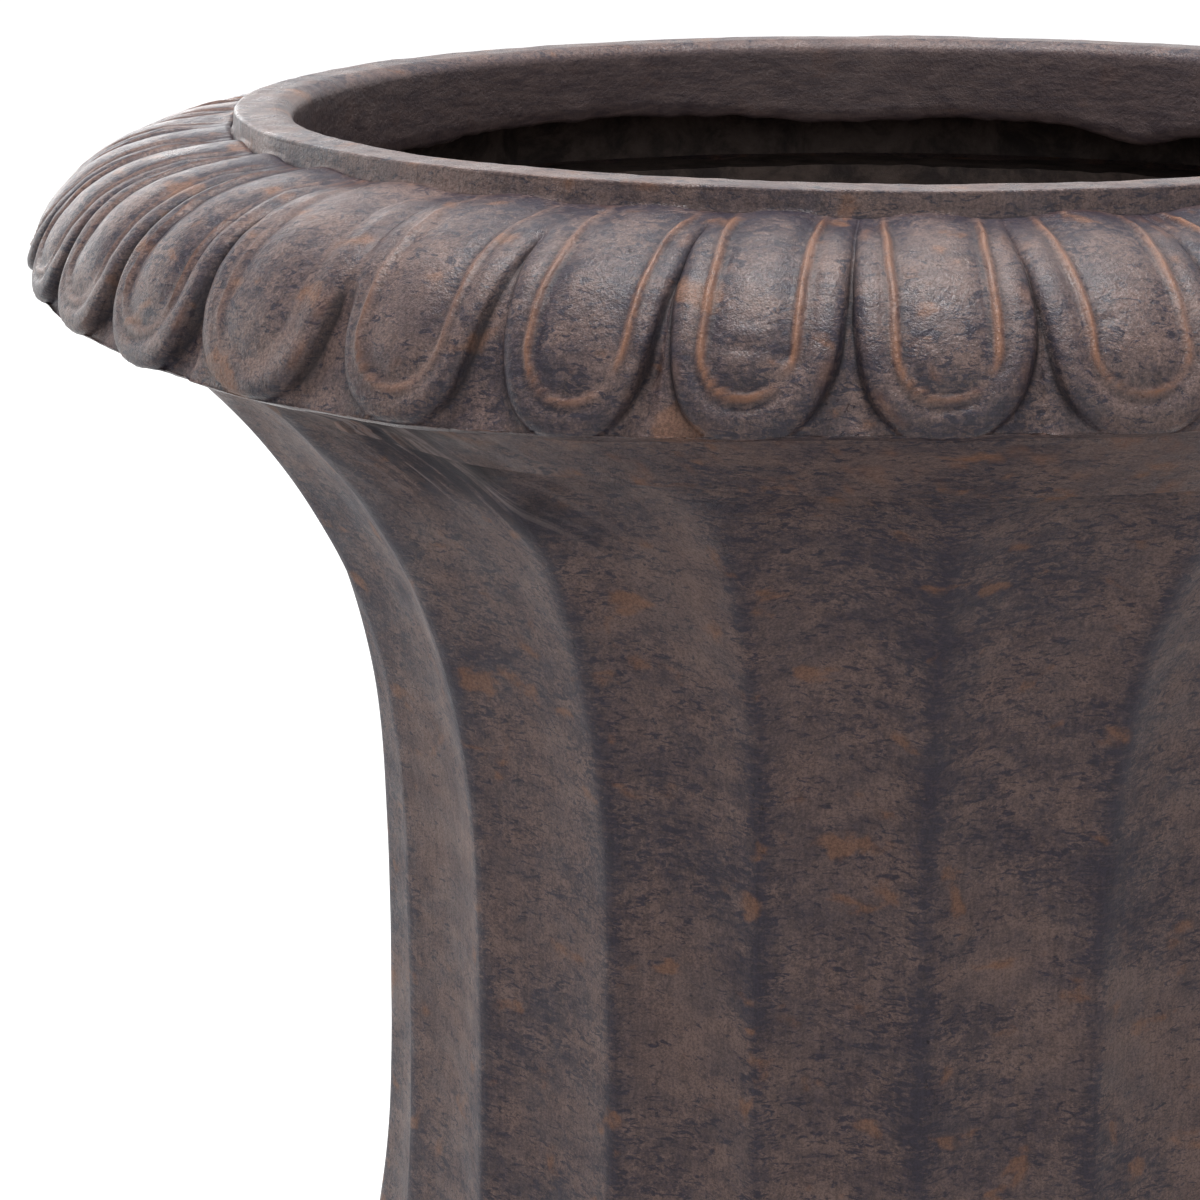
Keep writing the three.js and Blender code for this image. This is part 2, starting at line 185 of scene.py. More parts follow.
def mixed(tree, factor, first, second, blend="MIX"):
    made = add(tree, "ShaderNodeMix", {0: factor, 6: first, 7: second}, data_type="RGBA", blend_type=blend)
    return made.outputs[2]


def threshold(tree, value, middle, softness, low=0.0, high=1.0):
    """Low under middle - softness, high over middle + softness, smooth between."""
    made = add(tree, "ShaderNodeMapRange", {
        "Value": value, "From Min": middle - softness, "From Max": middle + softness,
        "To Min": low, "To Max": high}, interpolation_type="SMOOTHSTEP")
    return made.outputs["Result"]


def cloud(tree, vector, scale, detail=4.0, rough=0.6, distortion=0.0):
    made = add(tree, "ShaderNodeTexNoise", {
        "Vector": vector, "Scale": scale, "Detail": detail, "Roughness": rough, "Distortion": distortion})
    return made.outputs["Fac"]


def stretched(tree, vector, scale, shift=(0, 0, 0)):
    return add(tree, "ShaderNodeMapping", {"Vector": vector, "Scale": scale, "Location": shift}).outputs[0]


def group(name, inputs, outputs):
    """An empty node group: returns the tree, its inputs node and its outputs node."""
    tree = bpy.data.node_groups.new(name, "ShaderNodeTree")
    for label, kind, value in inputs:
        socket = tree.interface.new_socket(name=label, in_out="INPUT", socket_type=kind)
        socket.default_value = value
    for label, kind in outputs:
        tree.interface.new_socket(name=label, in_out="OUTPUT", socket_type=kind)
    return tree, tree.nodes.new("NodeGroupInput").outputs, tree.nodes.new("NodeGroupOutput").inputs


def place(tree, shared, inputs=None):
    """A copy of a shared node group in a material."""
    made = add(tree, "ShaderNodeGroup", node_tree=shared)
    for name, value in (inputs or {}).items():
        if isinstance(value, bpy.types.NodeSocket):
            tree.links.new(value, made.inputs[name])
        else:
            made.inputs[name].default_value = value
    return made.outputs


def attribute(tree, name):
    return add(tree, "ShaderNodeAttribute", attribute_name=name).outputs["Fac"]


# ------------------------------------------------------------------ shared effects
def patina_group():
    """Brown wash with slate blotches, thin dark wisps and rust patches that lie level round the urn."""
    tree, given, out = group("mottled_patina", [
        ("Ground", "NodeSocketColor", rgb("635350")),
        ("Slate", "NodeSocketColor", rgb("2a2631")),
        ("Rust", "NodeSocketColor", rgb("785644")),
        ("Slate Cover", "NodeSocketFloat", 0.5),
        ("Rust Cover", "NodeSocketFloat", 0.3),
        ("Gathered", "NodeSocketFloat", 0.0),
    ], [("Color", "NodeSocketColor"), ("Slate Mask", "NodeSocketFloat")])
    where = add(tree, "ShaderNodeTexCoord").outputs["Object"]
    lying = stretched(tree, where, (1, 1, 1.35))
    drift = cloud(tree, lying, 19, 3, 0.55, 0.4)
    patch = cloud(tree, lying, 120, 8, 0.8, 0.5)
    speck = cloud(tree, where, 760, 4, 0.85)
    field = maths(tree, "MULTIPLY_ADD", drift, 0.5, patch)
    field = maths(tree, "MULTIPLY_ADD", speck, 0.8, field)
    field = maths(tree, "MULTIPLY_ADD", given["Slate Cover"], 0.18, field)
    field = maths(tree, "MULTIPLY_ADD", given["Gathered"], 0.15, field)
    slate = threshold(tree, field, 1.29, 0.13, 0.0, 0.72)
    flat = stretched(tree, where, (1, 1, 2.6), (4, 9, 1))
    wisp = cloud(tree, flat, 240, 5, 0.72, 0.9)
    wisp = maths(tree, "MULTIPLY_ADD", wisp, 1.0, maths(tree, "MULTIPLY", drift, 0.35))
    wisp = maths(tree, "MULTIPLY_ADD", given["Slate Cover"], 0.1, wisp)
    wisp = maths(tree, "MULTIPLY_ADD", given["Gathered"], 0.1, wisp)
    wisp = threshold(tree, wisp, 0.785, 0.04, 0.0, 0.95)
    slate = maths(tree, "MAXIMUM", slate, wisp)

    tone = cloud(tree, stretched(tree, where, (1, 1, 1.5), (7, 2, 5)), 70, 4, 0.6, 0.3)
    ground = mixed(tree, threshold(tree, tone, 0.5, 0.14), (0.8, 0.8, 0.84, 1), (1.2, 1.15, 1.1, 1))
    ground = mixed(tree, 1.0, given["Ground"], ground, "MULTIPLY")
    rust = cloud(tree, stretched(tree, where, (1, 1, 1.4), (1, 8, 3)), 62, 3, 0.5, 0.3)
    rust = maths(tree, "MULTIPLY_ADD", speck, 0.14, rust)
    rust = maths(tree, "MULTIPLY_ADD", given["Rust Cover"], 0.14, rust)
    rust = threshold(tree, rust, 0.775, 0.05, 0.0, 0.7)
    color = mixed(tree, slate, ground, given["Slate"])
    color = mixed(tree, rust, color, given["Rust"])
    grit = cloud(tree, where, 1500, 2, 0.8)
    line = cloud(tree, stretched(tree, where, (1, 1, 0.1)), 800, 2, 0.6)
    shade = maths(tree, "MULTIPLY_ADD", line, 0.35, grit)
    shade = threshold(tree, shade, 0.675, 0.17, 0.68, 1.32)
    grey = add(tree, "ShaderNodeCombineXYZ", {0: shade, 1: shade, 2: shade}).outputs[0]
    color = mixed(tree, 1.0, color, grey, "MULTIPLY")
    tree.links.new(color, out["Color"])
    tree.links.new(slate, out["Slate Mask"])
    return tree


def grain_group():
    """Relief of a cast and brushed skin: fine grain, clustered pits and brush marks round the axis."""
    tree, given, out = group("cast_grain", [
        ("Grain", "NodeSocketFloat", 0.5),
        ("Pits", "NodeSocketFloat", 0.5),
        ("Brush", "NodeSocketFloat", 0.0),
    ], [("Height", "NodeSocketFloat"), ("Pit Mask", "NodeSocketFloat")])
    where = add(tree, "ShaderNodeTexCoord").outputs["Object"]
    finest = cloud(tree, where, 1900, 2, 0.7)
    fine = maths(tree, "MULTIPLY_ADD", finest, 0.45, cloud(tree, where, 560, 4, 0.72))
    coarse = cloud(tree, where, 105, 5, 0.62)
    holes = cloud(tree, where, 700, 3, 0.6)
    where_pits = threshold(tree, cloud(tree, where, 60, 4, 0.65), 0.62, 0.08)
    pit = maths(tree, "MULTIPLY", threshold(tree, holes, 0.66, 0.05), where_pits)
    pit = maths(tree, "MULTIPLY", pit, given["Pits"])
    brush = cloud(tree, stretched(tree, where, (1, 1, 16)), 38, 4, 0.6, 0.5)
    height = maths(tree, "ADD", fine, maths(tree, "MULTIPLY", coarse, 1.6))
    height = maths(tree, "MULTIPLY", height, given["Grain"])
    height = maths(tree, "ADD", height, maths(tree, "MULTIPLY", brush, given["Brush"]))
    height = maths(tree, "SUBTRACT", height, pit)
    tree.links.new(height, out["Height"])
    tree.links.new(pit, out["Pit Mask"])
    return tree


def stroke_group():
    """Light and dark strokes of a brush that was drawn down from the joint at the left of the front."""
    tree, _, out = group("brush_strokes", [], [("Light", "NodeSocketFloat"), ("Dark", "NodeSocketFloat")])
    where = add(tree, "ShaderNodeTexCoord").outputs["Object"]
    slanted = add(tree, "ShaderNodeMapping", {
        "Vector": where, "Rotation": (math.radians(STROKE_SLANT), 0, math.radians(STROKE_AZIMUTH)),
        "Scale": (1 / 14, 1 / 18, 1 / 150)}, vector_type="TEXTURE").outputs[0]
    stroke = cloud(tree, slanted, 1, 5, 0.62, 0.9)
    tree.links.new(threshold(tree, stroke, 0.54, 0.05), out["Light"])
    tree.links.new(threshold(tree, stroke, 0.475, 0.05, 1.0, 0.0), out["Dark"])
    return tree


def scuff_group():
    """Fine scratches and dull spots on machined or moulded faces."""
    tree, given, out = group("scuffs", [("Amount", "NodeSocketFloat", 0.5)],
                             [("Mask", "NodeSocketFloat"), ("Height", "NodeSocketFloat")])
    where = add(tree, "ShaderNodeTexCoord").outputs["Object"]
    scratch = cloud(tree, stretched(tree, where, (1, 14, 5)), 160, 3, 0.6, 0.8)
    spot = cloud(tree, where, 210, 4, 0.7)
    mask = threshold(tree, maths(tree, "MAXIMUM", scratch, spot), 0.62, 0.1)
    mask = maths(tree, "MULTIPLY", mask, given["Amount"])
    tree.links.new(mask, out["Mask"])
    tree.links.new(maths(tree, "ADD", maths(tree, "MULTIPLY", scratch, 0.6), spot), out["Height"])
    return tree


PATINA = patina_group()
GRAIN = grain_group()
SCUFFS = scuff_group()
STROKES = stroke_group()


def shader(name, **constants):
    """A new material with one Principled shader and constants on its own sockets."""
    material = bpy.data.materials.new(name)
    material.use_nodes = True
    tree = material.node_tree
    principled = tree.nodes["Principled BSDF"]
    for label, value in constants.items():
        principled.inputs[label.replace("_", " ")].default_value = value
    return material, tree, principled.inputs


def bumped(tree, height, distance):
    made = add(tree, "ShaderNodeBump", {"Height": height, "Distance": distance, "Strength": 1.0})
    return made.outputs[0]


# ------------------------------------------------------------------ materials
def casting_material(name, slate_cover, rust_cover, smoothest, roughest):
    """The patinated casting. Attributes of the mesh say where it is worn, stained, pitted, brushed, stroked,
    plain or inside, and where shade is painted into its creases, grooves and joints."""
    material, tree, skin = shader(name, Specular_IOR_Level=0.24)
    patina = place(tree, PATINA, {"Slate Cover": slate_cover, "Rust Cover": rust_cover,
                                  "Gathered": attribute(tree, "gathered")})
    worn = attribute(tree, "worn")
    crease_shade = attribute(tree, "crease_shade")
    inside = attribute(tree, "inside")
    brushed = attribute(tree, "brushed")
    plain = attribute(tree, "plain")
    where = add(tree, "ShaderNodeTexCoord").outputs["Object"]
    patchy = threshold(tree, cloud(tree, where, 300, 5, 0.75), 0.40, 0.12, 0.25)
    wear = maths(tree, "MULTIPLY", worn, patchy, clamp=True)
    streak = cloud(tree, stretched(tree, where, (1, 1, 5)), 90, 6, 0.7, 0.4)
    wiped = mixed(tree, threshold(tree, streak, 0.5, 0.15), rgb("40363a"), rgb("5f5150"))
    color = mixed(tree, plain, patina["Color"], wiped)
    strokes = place(tree, STROKES)
    stroked = attribute(tree, "stroked")
    color = mixed(tree, maths(tree, "MULTIPLY", strokes["Dark"], stroked), color, rgb("262228"))
    color = mixed(tree, maths(tree, "MULTIPLY", strokes["Light"], stroked), color, rgb("857978"))
    color = mixed(tree, maths(tree, "MULTIPLY", wear, 0.8), color, rgb("8a6049"))
    # Painted shade: the colour goes toward near black in creases, grooves and the open joint, where shade
    # falls
    color = mixed(tree, maths(tree, "MULTIPLY", crease_shade, 0.85, clamp=True), color, rgb("171418"))
    blotch = threshold(tree, cloud(tree, where, 60, 6, 0.75, 0.4), 0.5, 0.16)
    raw = mixed(tree, blotch, rgb("3a3231"), rgb("6a5c56"))
    color = mixed(tree, inside, color, raw)
    grain = place(tree, GRAIN, {"Grain": 0.7, "Pits": attribute(tree, "pitted"),
                                "Brush": maths(tree, "MULTIPLY", brushed, 1.6)})
    color = mixed(tree, maths(tree, "MULTIPLY", grain["Pit Mask"], 0.7, clamp=True), color, rgb("141114"))
    tree.links.new(color, skin["Base Color"])
    gloss = threshold(tree, cloud(tree, where, 75, 5, 0.65), 0.5, 0.2, smoothest, roughest)
    gloss = maths(tree, "MULTIPLY_ADD", inside, 0.22, gloss)
    gloss = maths(tree, "MULTIPLY_ADD", brushed, -0.04, gloss)
    gloss = maths(tree, "MULTIPLY_ADD", maths(tree, "MAXIMUM", crease_shade, stroked), 0.35, gloss, clamp=True)
    tree.links.new(gloss, skin["Roughness"])
    tree.links.new(bumped(tree, grain["Height"], 0.5 * MM), skin["Normal"])
    return material


def rubber_material():
    material, tree, skin = shader("black_rubber")
    scuffs = place(tree, SCUFFS, {"Amount": 0.7})
    color = mixed(tree, scuffs["Mask"], rgb("161617"), rgb("3a3937"))
    tree.links.new(color, skin["Base Color"])
    tree.links.new(maths(tree, "ADD", maths(tree, "MULTIPLY", scuffs["Mask"], 0.2), 0.6), skin["Roughness"])
    tree.links.new(bumped(tree, scuffs["Height"], 0.12 * MM), skin["Normal"])
    return material


def zinc_material():
    material, tree, skin = shader("dull_zinc", Metallic=1.0)
    where = add(tree, "ShaderNodeTexCoord").outputs["Object"]
    scuffs = place(tree, SCUFFS, {"Amount": 0.8})
    bloom = threshold(tree, cloud(tree, where, 140, 5, 0.7), 0.5, 0.15)
    color = mixed(tree, bloom, rgb("7a7d81"), rgb("909396"))
    color = mixed(tree, scuffs["Mask"], color, rgb("5c5a57"))
    tree.links.new(color, skin["Base Color"])
    tree.links.new(maths(tree, "ADD", maths(tree, "MULTIPLY", bloom, 0.16), 0.42), skin["Roughness"])
    tree.links.new(bumped(tree, scuffs["Height"], 0.08 * MM), skin["Normal"])
    return material


def moulding_material():
    material, tree, skin = shader("drain_moulding")
    scuffs = place(tree, SCUFFS, {"Amount": 0.5})
    tree.links.new(mixed(tree, scuffs["Mask"], rgb("26272a"), rgb("454442")), skin["Base Color"])
    tree.links.new(maths(tree, "ADD", maths(tree, "MULTIPLY", scuffs["Mask"], 0.25), 0.4), skin["Roughness"])
    tree.links.new(bumped(tree, scuffs["Height"], 0.06 * MM), skin["Normal"])
    return material


RIM_SKIN = casting_material("rim_casting_skin", 0.5, 0.33, 0.26, 0.44)
BELL_SKIN = casting_material("bell_casting_skin", 0.5, 0.30, 0.46, 0.62)
FOOT_SKIN = casting_material("foot_casting_skin", 0.46, 0.36, 0.42, 0.58)
PASTE = casting_material("wiped_paste", 0.42, 0.36, 0.46, 0.62)
RUBBER = rubber_material()
ZINC = zinc_material()
MOULDING = moulding_material()


# ------------------------------------------------------------------ shape helpers
def stretch(start, end, steps):
    """Points from start up to, but not on, end."""
    return [(start[0] + (end[0] - start[0]) * i / steps, start[1] + (end[1] - start[1]) * i / steps)
            for i in range(steps)]


def arc(centre, half_width, half_height, start, end, steps):
    """Points on an ellipse, both ends included; degrees, 0 pointing outwards."""
    points = []
    for i in range(steps + 1):
        angle = math.radians(start + (end - start) * i / steps)
        points.append((centre[0] + half_width * math.cos(angle), centre[1] + half_height * math.sin(angle)))
    return points


def thin_out(sector, step, columns):
    """Dissolves columns of a spun sector, so that each row of points keeps only its own number of them."""
    row = sector.verts.layers.int["row"]
    sides = max(columns)
    kept = {count: {round(i * sides / count) for i in range(count + 1)} for count in set(columns)}
    column = {v: round(math.atan2(v.co.y, v.co.x) / step) for v in sector.verts}
    spare = [edge for edge in sector.edges if column[edge.verts[0]] == column[edge.verts[1]]
             and not any(column[v] in kept[columns[v[row]]] for v in edge.verts)]
    bmesh.ops.dissolve_edges(sector, edges=spare, use_verts=True)


def spun(outline, sides, sectors, closed=True, down=None, columns=None):
    """An outline of (radius, height) points turned about Z: one sector is spun, then copied round.
    sides is for one sector, and down and columns go with each point, if given."""
    shell = bmesh.new()
    layer = shell.verts.layers.float.new("down")
    row = shell.verts.layers.int.new("row")
    ring = [shell.verts.new((radius, 0, height)) for radius, height in outline]
    for number, vertex in enumerate(ring):
        vertex[row] = number
        if down is not None:
            vertex[layer] = down[number]
    pairs = list(zip(ring, ring[1:])) + ([(ring[-1], ring[0])] if closed else [])
    edges = [shell.edges.new(pair) for pair in pairs]
    bmesh.ops.spin(shell, geom=ring + edges, cent=(0, 0, 0), axis=(0, 0, 1),
                   angle=math.tau / sectors, steps=sides)
    if columns is not None:
        thin_out(shell, math.tau / sectors / sides, columns)
    first = shell.verts[:] + shell.edges[:] + shell.faces[:]
    for number in range(1, sectors):
        copied = bmesh.ops.duplicate(shell, geom=first)["geom"]
        bmesh.ops.rotate(shell, verts=[item for item in copied if isinstance(item, bmesh.types.BMVert)],
                         cent=(0, 0, 0), matrix=Matrix.Rotation(math.tau * number / sectors, 3, "Z"))
    bmesh.ops.remove_doubles(shell, verts=shell.verts, dist=1e-6)
    bmesh.ops.recalc_face_normals(shell, faces=shell.faces)
    return shell


def as_object(shell, name, material, sharp=40):
    bmesh.ops.recalc_face_normals(shell, faces=shell.faces)
    mesh = bpy.data.meshes.new(name)
    shell.to_mesh(mesh)
    shell.free()
    mesh.materials.append(material)
    mesh.shade_smooth()
    mesh.set_sharp_from_angle(angle=math.radians(sharp))
    made = bpy.data.objects.new(name, mesh)
    bpy.context.scene.collection.objects.link(made)
    return made


def stands_for(piece, slot, *nodes, body="urn"):
    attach(piece, body)
    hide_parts(*nodes)
    return piece


def read(mesh, what="co"):
    values = np.empty(len(mesh.vertices) * 3)
    mesh.vertices.foreach_get(what, values)
    return values.reshape(-1, 3)


def write(mesh, places):
    mesh.vertices.foreach_set("co", places.ravel())
    mesh.update()


def keep(mesh, name, values):
    layer = mesh.attributes.get(name) or mesh.attributes.new(name, "FLOAT", "POINT")
    layer.data.foreach_set("value", np.asarray(values, dtype=np.float32))


def layer_values(mesh, name):
    values = np.empty(len(mesh.vertices), dtype=np.float32)
    mesh.attributes[name].data.foreach_get("value", values)
    return values.astype(float)


def unevenness(places, size, octaves=2, seed=0.0, upright=1.0):
    """Smooth noise from about -1 to 1 with features of the given size."""
    scaled = places / size + np.array([seed, 1.7 * seed, -seed])
    scaled[:, 2] *= upright
    return np.array([noise.fractal(Vector(p), 1.0, 2.0, octaves) for p in scaled])


def smooth(values, start, end):
    t = np.clip((values - start) / (end - start), 0, 1)
    return t * t * (3 - 2 * t)


def hump(values, width):
    return np.exp(-(values / width) ** 2)


# ------------------------------------------------------------------ rim ring
class LobeTraits:
    """How each hand-finished lobe differs from the next, from fixed random draws."""
    lean = rng.uniform(-1.2, 1.2, LOBES) * MM
    bead_shift = rng.uniform(-1.3, 1.3, LOBES) * MM
    bead_size = rng.uniform(-0.7, 0.7, LOBES) * MM
    tip_shift = rng.uniform(-1.0, 0.6, LOBES) * MM
    slack = rng.uniform(0.1, 0.9, LOBES) * MM
    gap_side = np.where(rng.random(LOBES) < 0.75, 1.0, -1.0)
    gap_depth = rng.uniform(0.3, 1.0, LOBES)
    faint = rng.uniform(0.7, 1.1, LOBES)
    depth = rng.uniform(0.85, 1.25, LOBES)
    filled = rng.uniform(-30, 8, LOBES) * MM  # how far down the valley after a lobe is filled up
    rubbed = np.ones(LOBES)


FRONT_LOBE = 27  # the lobe just left of the middle of the front; the next to its left is 26
LobeTraits.gap_side[FRONT_LOBE - 2:FRONT_LOBE + 1] = 1.0
LobeTraits.gap_depth[FRONT_LOBE - 2:FRONT_LOBE + 1] = 1.0
LobeTraits.bead_shift[FRONT_LOBE] = 0.0
LobeTraits.bead_shift[FRONT_LOBE - 1] = -1.2 * MM
LobeTraits.faint[FRONT_LOBE - 1:FRONT_LOBE + 1] = 1.1
LobeTraits.faint[FRONT_LOBE - 4:FRONT_LOBE - 1] = (0.35, 0.75, 0.85)
LobeTraits.depth[FRONT_LOBE - 8:FRONT_LOBE - 4] = 1.45
LobeTraits.filled[FRONT_LOBE - 8:FRONT_LOBE + 2] = np.array(
    [-30, -30, -30, 14, 32, 8, -8, -20, -20, -20]) * MM
LobeTraits.rubbed[FRONT_LOBE - 10:FRONT_LOBE - 2] = (0.4, 0.25, 0.25, 0.25, 0.3, 0.3, 0.35, 0.7)
LobeTraits.slack[FRONT_LOBE - 3:FRONT_LOBE - 1] = (2.4 * MM, 2.2 * MM)

# How far the roll hangs down, and how far the lobes have slid round it, at angles in degrees
SAG_ANGLE = (0, 196, 215, 233, 244, 254, 265, 276, 360)
SAG = np.array([0, 0, 3.0, 5.5, 5.5, 4.2, 1.2, 0, 0]) * MM
SLIDE_ANGLE = (0, 40, 190, 209, 219, 229, 239, 249, 259, 269, 279, 290, 340, 360)
SLIDE = np.array([-1.0, 0, 0, -3.0, -5.5, -6.5, -1.1, 0, -1.1, -2.5, -3.6, -3.8, -1.8, -1.0]) * MM

# Small casting faults on the front lobes: lobe, place across it, place down the roll, reach across,
# reach down and depth
DENTS = (
    (FRONT_LOBE - 1, -1.0, 37.0, 2.2, 1.6, -0.8),
    (FRONT_LOBE - 1, -2.2, 40.0, 3.0, 1.2, 0.7),
    (FRONT_LOBE - 1, 9.0, 41.5, 2.0, 1.0, 0.5),
    (FRONT_LOBE, 1.0, 27.5, 4.5, 0.7, 0.45),
    (FRONT_LOBE, 5.0, 29.0, 2.5, 0.6, 0.35),
    (FRONT_LOBE - 2, 19.5, 44.0, 1.8, 3.4, 1.9),
    (FRONT_LOBE - 2, 17.5, 39.5, 1.6, 1.4, -0.9),
    (FRONT_LOBE - 2, -4.0, 46.0, 2.4, 1.4, 0.5),
    (FRONT_LOBE + 1, -6.0, 33.0, 2.6, 1.3, 0.5),
)


def crown(down):
    """How much fuller the top of the roll is than its ellipse, so that it meets the collar without a dip."""
    return float(np.interp(down, [0, 8 * MM, 18 * MM, 30 * MM], [2.15 * MM, 1.1 * MM, 0.4 * MM, 0]))


def rim_outline():
    """The rim's section and, for each point, the distance down the roll where the lobes are, and the
    number of columns that its row keeps in each sector."""
    free = -1.0
    points, down = [], []

    def section(pairs, distances=None):
        points.extend(pairs)
        down.extend(distances if distances is not None else [free] * len(pairs))

    section(stretch((BELL_MOUTH, RIM_SEAT), (BELL_TOP_RADIUS, RIM_SEAT), 2))
    section([(228 * MM, RIM_SEAT), (229 * MM, RIM_SEAT + 3 * MM), (232.5 * MM, RIM_SEAT + 5.8 * MM)])
    under = [(237.5, 7.2), (242.5, 7.9), (247.5, 8.6), (252, 9.2), (255.5, 9.8), (257.6, 10.3), (258.7, 10.8)]
    section([(r * MM, RIM_SEAT + h * MM) for r, h in under],
            [(60.8 + (259.2 - r) * 1.02) * MM for r, _ in under])
    steps = [60.6 - 0.85 * i for i in range(24)] + [40.2 - 1.4 * i for i in range(9)]
    steps += [27.6 - 2.3 * i for i in range(12)] + [0.9]
    turns = [math.radians(90 * s * MM / ROLL_LENGTH) for s in steps]
    section([(ROLL_RADIUS + ROLL_WIDTH * math.sin(t), ROLL_CENTRE + ROLL_HEIGHT * math.cos(t) + crown(s * MM))
             for t, s in zip(turns, steps)], [s * MM for s in steps])
    brow = [(214, 2.5), (211, 2.9), (208, 3.25), (205, 3.55), (202, 3.82), (200, 4.05), (199, 4.0),
            (198.5, 3.5)]
    section([(r * MM, ROLL_CREST + h * MM) for r, h in brow], [(r - 217) * 1.05 * MM for r, _ in brow])
    band_foot = LIP - COLLAR_BAND
    edge, brow_width, brow_height = 1.3 * MM, 6.5 * MM, 5 * MM
    section([(LIP_OUTER + 0.5 * MM, band_foot), (LIP_OUTER + 0.1 * MM, band_foot + 1.8 * MM)])
    section(arc((LIP_OUTER - edge, LIP - edge), edge, edge, 0, 90, 4))
    section(stretch((LIP_OUTER - 3 * MM, LIP), (LIP_INNER + brow_width, LIP), 4))
    section(arc((LIP_INNER + brow_width, LIP - brow_height), brow_width, brow_height, 90, 180, 8))
    skirt_foot = LIP - SKIRT_DEPTH
    section(stretch((LIP_INNER, LIP - 8 * MM), (LIP_INNER, skirt_foot + 1.5 * MM), 5))
    section([(LIP_INNER, skirt_foot + 1.5 * MM), (LIP_INNER + 1.2 * MM, skirt_foot)])
    section([(LIP_INNER + SKIRT_WALL - 1.5 * MM, skirt_foot),
             (LIP_INNER + SKIRT_WALL, skirt_foot + 1.5 * MM)])
    shown_rows = len(points)
    hollow_width = ROLL_WIDTH - LOBE_RELIEF - ROLL_WALL
    hollow_height = ROLL_HEIGHT - ROLL_WALL
    start = math.degrees(math.asin((FLANGE_TOP - ROLL_CENTRE) / hollow_height))
    section(arc((ROLL_RADIUS, ROLL_CENTRE), hollow_width, hollow_height, 90, start, 8))
    section(stretch((ROLL_RADIUS + hollow_width - 5 * MM, FLANGE_TOP), (BELL_MOUTH, FLANGE_TOP), 3))
    section([(BELL_MOUTH, FLANGE_TOP)])
    columns = [LOBE_COLUMNS if place > free + 0.5 else 12 for place in down[:shown_rows]]
    columns += [6] * (len(points) - shown_rows)
    return points, down, columns


def lobe_places(angle):
    """The number of the lobe at an angle, and the place across it from -1 to 1."""
    places = (angle - LOBE_TURN) * LOBES / math.tau
    number = np.round(places)
    return number.astype(int) % LOBES, 2 * (places - number), number


def lobe_half(radius, down, number):
    """Half the width of a lobe at its shoulders, a little less than its share of the ring."""
    gap = 0.05 * MM + LobeTraits.slack[number] * smooth(down, 15 * MM, 38 * MM)
    return radius * math.pi / LOBES - gap


def crowd_columns(places, down):
    """Moves the columns so that one follows the bead, one the outline, and more lie near both."""
    radius = np.hypot(places[:, 0], places[:, 1])
    angle = np.arctan2(places[:, 1], places[:, 0])
    lobe, across, number = lobe_places(angle)
    carved = down > -0.5
    whole = radius * math.pi / LOBES
    reach = BEAD_HALF_WIDTH + LobeTraits.bead_size[lobe] + np.sign(across) * LobeTraits.bead_shift[lobe]
    bead = np.where(carved, np.clip(reach / whole, 0.40, 0.68), BEAD_COLUMN)
    over = np.clip((down - TIP_START) / (TIP_END + LobeTraits.tip_shift[lobe] - TIP_START), 0, 1)
    edge = lobe_half(radius, down, lobe) * (1 - over ** TIP_FULLNESS) ** (1 / TIP_FULLNESS) / whole
    edge = np.where(carved, np.clip(edge, bead + 0.2, 0.985), EDGE_COLUMN)
    shares = np.interp(np.abs(across), np.linspace(0, 1, len(COLUMN_SHARES)), COLUMN_SHARES)
    shares = np.where(
        shares < BEAD_COLUMN, shares * bead / BEAD_COLUMN, np.where(
            shares < EDGE_COLUMN, bead + (shares - BEAD_COLUMN) / (EDGE_COLUMN - BEAD_COLUMN) * (edge - bead),
            edge + (shares - EDGE_COLUMN) / (1 - EDGE_COLUMN) * (1 - edge)))
    angle = LOBE_TURN + (number + np.sign(across) * shares / 2) * math.tau / LOBES
    return np.column_stack([radius * np.cos(angle), radius * np.sin(angle), places[:, 2]])


def inside_outline(across, down, half_width, start, end, fullness):
    """Distance inside a strip that ends round: positive inside it, negative outside."""
    over = np.clip((down - start) / (end - start), 0, None)
    side = np.abs(across) / half_width
    level = (side ** fullness + over ** fullness) ** (1 / fullness) + 1e-6
    slope = np.hypot(side ** (fullness - 1) / half_width, over ** (fullness - 1) / (end - start))
    slope = slope * level ** (1 - fullness)
    return np.clip((1 - level) / np.maximum(slope, 12), -30 * MM, 30 * MM)


